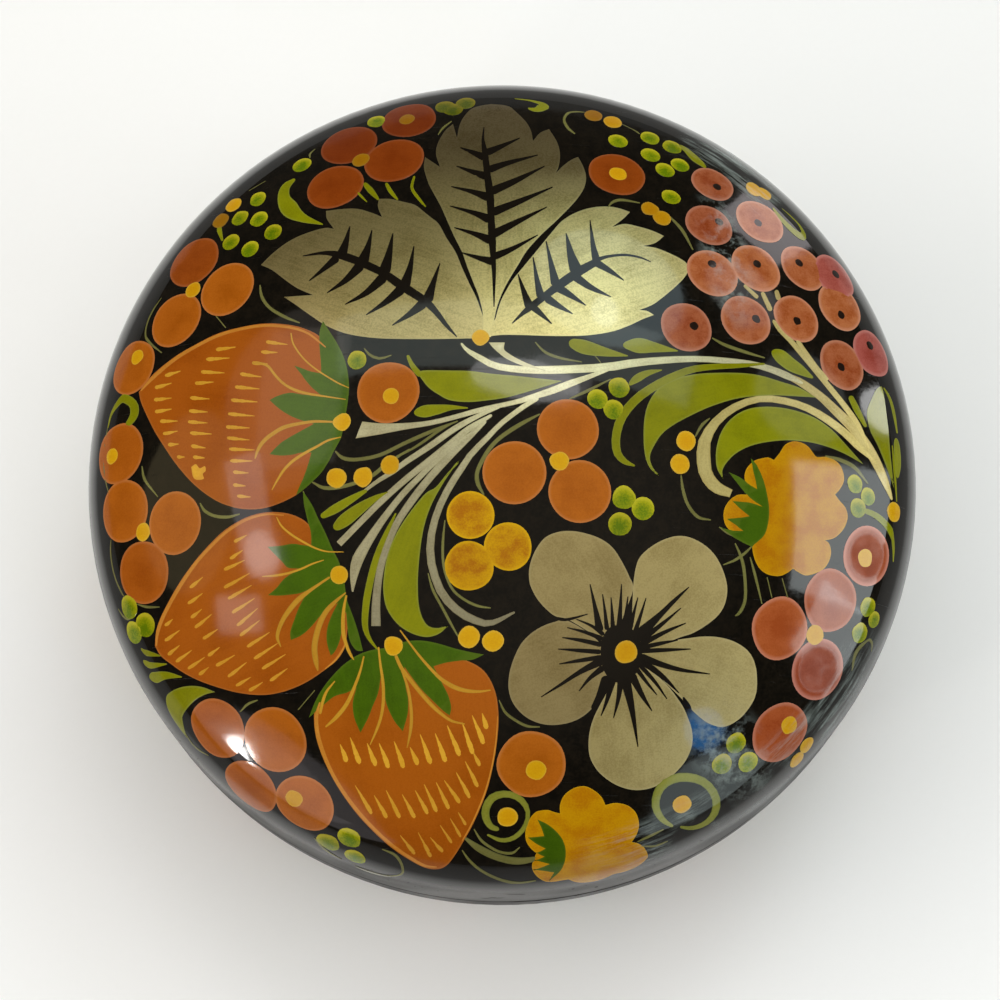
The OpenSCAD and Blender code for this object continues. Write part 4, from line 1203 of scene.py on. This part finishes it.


# The box stands on a white sheet of paper; round it the floor turns grey outside the picture and darker
# still further out, a painted fall-off of light. Soft light comes from two wide cloths, from windows and
# panes at the right, behind and left, and from a small lamp low at the front left. The rest of the room is
# dim, so that black lacquer stays black.
bpy.ops.object.select_all(action="DESELECT")
bpy.ops.mesh.primitive_plane_add(size=14.0, location=(0, 0, 0))
floor = bpy.context.object
floor.name = "floor"
white, tree, shader, _ = new_finish("white_floor")
on_floor = add(tree, "TexCoord", {})["Object"]
paper = noise(tree, on_floor, 900.0, 2.0)
spot = add(tree, "SeparateXYZ", {0: on_floor})
sheet_edge = 0.0
for value, middle, half in ((spot["X"], 0.0, 0.096), (spot["Y"], 0.010, 0.094)):
    off = counted(tree, "DIVIDE", counted(tree, "SUBTRACT", value, middle), half)
    sheet_edge = plus(tree, sheet_edge, counted(tree, "POWER", counted(tree, "ABSOLUTE", off), 4.0))
sheet_white = mixed(tree, paper, (0.975, 0.975, 0.975, 1), (0.99, 0.99, 0.99, 1))
# Grey outside the sheet, darker with distance: painted fall-off of light.
grey_falloff = mixed(tree, paper, (0.34, 0.34, 0.34, 1), (0.38, 0.38, 0.38, 1))
farther_falloff = ranged(tree, length_of(tree, on_floor), 0.25, 0.9)
grey_falloff = mixed(tree, farther_falloff, grey_falloff, (0.26, 0.26, 0.26, 1))
floor_colour = mixed(tree, ranged(tree, sheet_edge, 0.9, 6.0), sheet_white, grey_falloff)
tree.links.new(floor_colour, shader.inputs["Base Color"])
shader.inputs["Roughness"].default_value = 1.0
shader.inputs["Specular IOR Level"].default_value = 0.0
floor.data.materials.append(white)

# The room's own glow is warm, and strongest overhead.
world = bpy.data.worlds.new("room")
scene.world = world
world.use_nodes = True
tree = world.node_tree
room_way = add(tree, "SeparateXYZ", {0: add(tree, "TexCoord", {})["Generated"]})
to_right = plus(tree, 0.8, times(tree, room_way["X"], 0.3))
overhead = times(tree, ranged(tree, room_way["Z"], 0.57, 0.94, 0.0, 0.2), to_right)
low_glow = ranged(tree, room_way["Z"], 0.17, 0.02, 0.05, 0.08)
tree.links.new(plus(tree, overhead, low_glow), tree.nodes["Background"].inputs["Strength"])
tree.nodes["Background"].inputs["Color"].default_value = (1.0, 0.9, 0.74, 1)


def panel(name, turn, rise, wide, high, bright, colour, far=3.0, roll=0.0, shape="RECTANGLE"):
    """A soft light panel that faces the box from a direction in degrees.
    Wide and high are half its spread in degrees, and bright is what its surface shows."""
    turn, rise = radians(turn), radians(rise)
    way = Vector((cos(rise) * cos(turn), cos(rise) * sin(turn), sin(rise)))
    bpy.ops.object.light_add(type="AREA", location=Vector((0, 0, 0.05)) + far * way)
    lamp = bpy.context.object
    lamp.name = name
    rolled = Quaternion((0.0, 0.0, 1.0), radians(roll))
    lamp.rotation_euler = ((-way).to_track_quat("-Z", "Y") @ rolled).to_euler()
    lamp.data.shape = shape
    lamp.data.size = 2 * far * tan(radians(wide))
    lamp.data.size_y = 2 * far * tan(radians(high))
    lamp.data.energy = bright * pi * lamp.data.size * lamp.data.size_y
    lamp.data.color = colour
    lamp.visible_camera = False
    return lamp


panel("window_right", 1, 21, 11, 11, 3.6, (0.93, 1.0, 1.0))
panel("window_right_near", -17, 15, 6.5, 11, 3.8, (0.93, 1.0, 1.0), roll=-12.0)
panel("window_right_edge", 25, 25, 8, 10, 0.5, (0.93, 1.0, 1.0), shape="ELLIPSE")
panel("pane_behind", 66, 40.5, 13, 12.5, 1.2, (0.72, 0.93, 1.0), shape="ELLIPSE")
panel("pane_behind_glint", 64, 46, 2.4, 3.2, 2.6, (0.9, 1.0, 1.0), roll=20.0, shape="ELLIPSE")
panel("wall_behind", 85, 56, 32, 7, 0.92, (0.85, 1.0, 0.95))
panel("pane_above", 80, 65, 10, 4, 2.6, (1.0, 1.0, 1.0), shape="ELLIPSE")
panel("pane_above_right", 67, 62, 6, 3.6, 0.9, (1.0, 1.0, 1.0), shape="ELLIPSE")
panel("pane_left", 178, 41, 10.5, 3.6, 1.9, (1.0, 0.93, 0.93), roll=14.0)
panel("pane_left_bright", 188, 42.5, 4.5, 3.2, 2.5, (1.0, 0.96, 0.98), roll=14.0, shape="ELLIPSE")
panel("pane_left_low", -161.5, 34.5, 3.2, 4.8, 2.0, (1.0, 0.93, 0.93), roll=-20.0)
panel("wall_left", 148, 44.5, 13, 8, 0.55, (1.0, 0.9, 0.8), roll=27.0)
panel("wall_left_soft", 150, 42, 17, 12, 0.3, (1.0, 0.9, 0.8), roll=27.0, shape="ELLIPSE")
panel("wall_left_low", 174, 27, 15, 10.5, 0.45, (1.0, 0.82, 0.45), shape="ELLIPSE")
panel("doorway_right", 52, 5, 5.5, 7, 2.8, (1.0, 0.93, 0.95))
panel("doorway_glow", 46, 23, 6.5, 6, 0.85, (1.0, 0.97, 0.97), shape="ELLIPSE")
panel("doorway_edge", 21.5, 7, 3.5, 5, 5.0, (1.0, 1.0, 1.0), shape="ELLIPSE")
panel("curtain_front", -52, 14, 13, 14, 1.2, (0.85, 1.0, 1.0), shape="ELLIPSE")
panel("curtain_left", -131, 15, 21, 13.5, 0.55, (1.0, 0.92, 0.95), shape="ELLIPSE")
panel("curtain_left_fold", -133, 16, 15, 10, 0.4, (1.0, 0.92, 0.95), shape="ELLIPSE")
panel("blue_screen_front", -45, 31.5, 3.6, 4.2, 3.6, (0.08, 0.4, 1.0), shape="ELLIPSE")
panel("lamp_front", -140.5, 17.5, 3.0, 2.8, 32.0, (1.0, 0.98, 0.95), far=0.85, shape="ELLIPSE")
cloth_left = panel("cloth_left", 190, 32, 21, 21, 1.25, (1.0, 0.985, 0.96), far=4.1)
cloth_left.visible_glossy = False
cloth_overhead = panel("cloth_overhead", 80, 74, 36, 36, 1.07, (1.0, 0.985, 0.96), far=4.1)
cloth_overhead.visible_glossy = False

# The camera looks down on the lid from a little to the front, as the photograph was taken.
bpy.ops.object.camera_add(location=Vector(lens_place), rotation=(photo_tilt, 0, 0))
camera = bpy.context.object
camera.data.sensor_width = 36.0
camera.data.lens = camera.data.sensor_width * photo_reach / photo_size
camera.data.shift_x = -(photo_middle[0] - photo_size / 2) / photo_size
camera.data.shift_y = (photo_middle[1] - photo_size / 2) / photo_size
camera.data.clip_start = 0.01
scene.camera = camera

# The blanks that strokes and dabs were copied from are no part of the box, and go.
for blank in (long_strip, short_strip, berry_blank, dot_blank):
    bpy.data.objects.remove(blank)
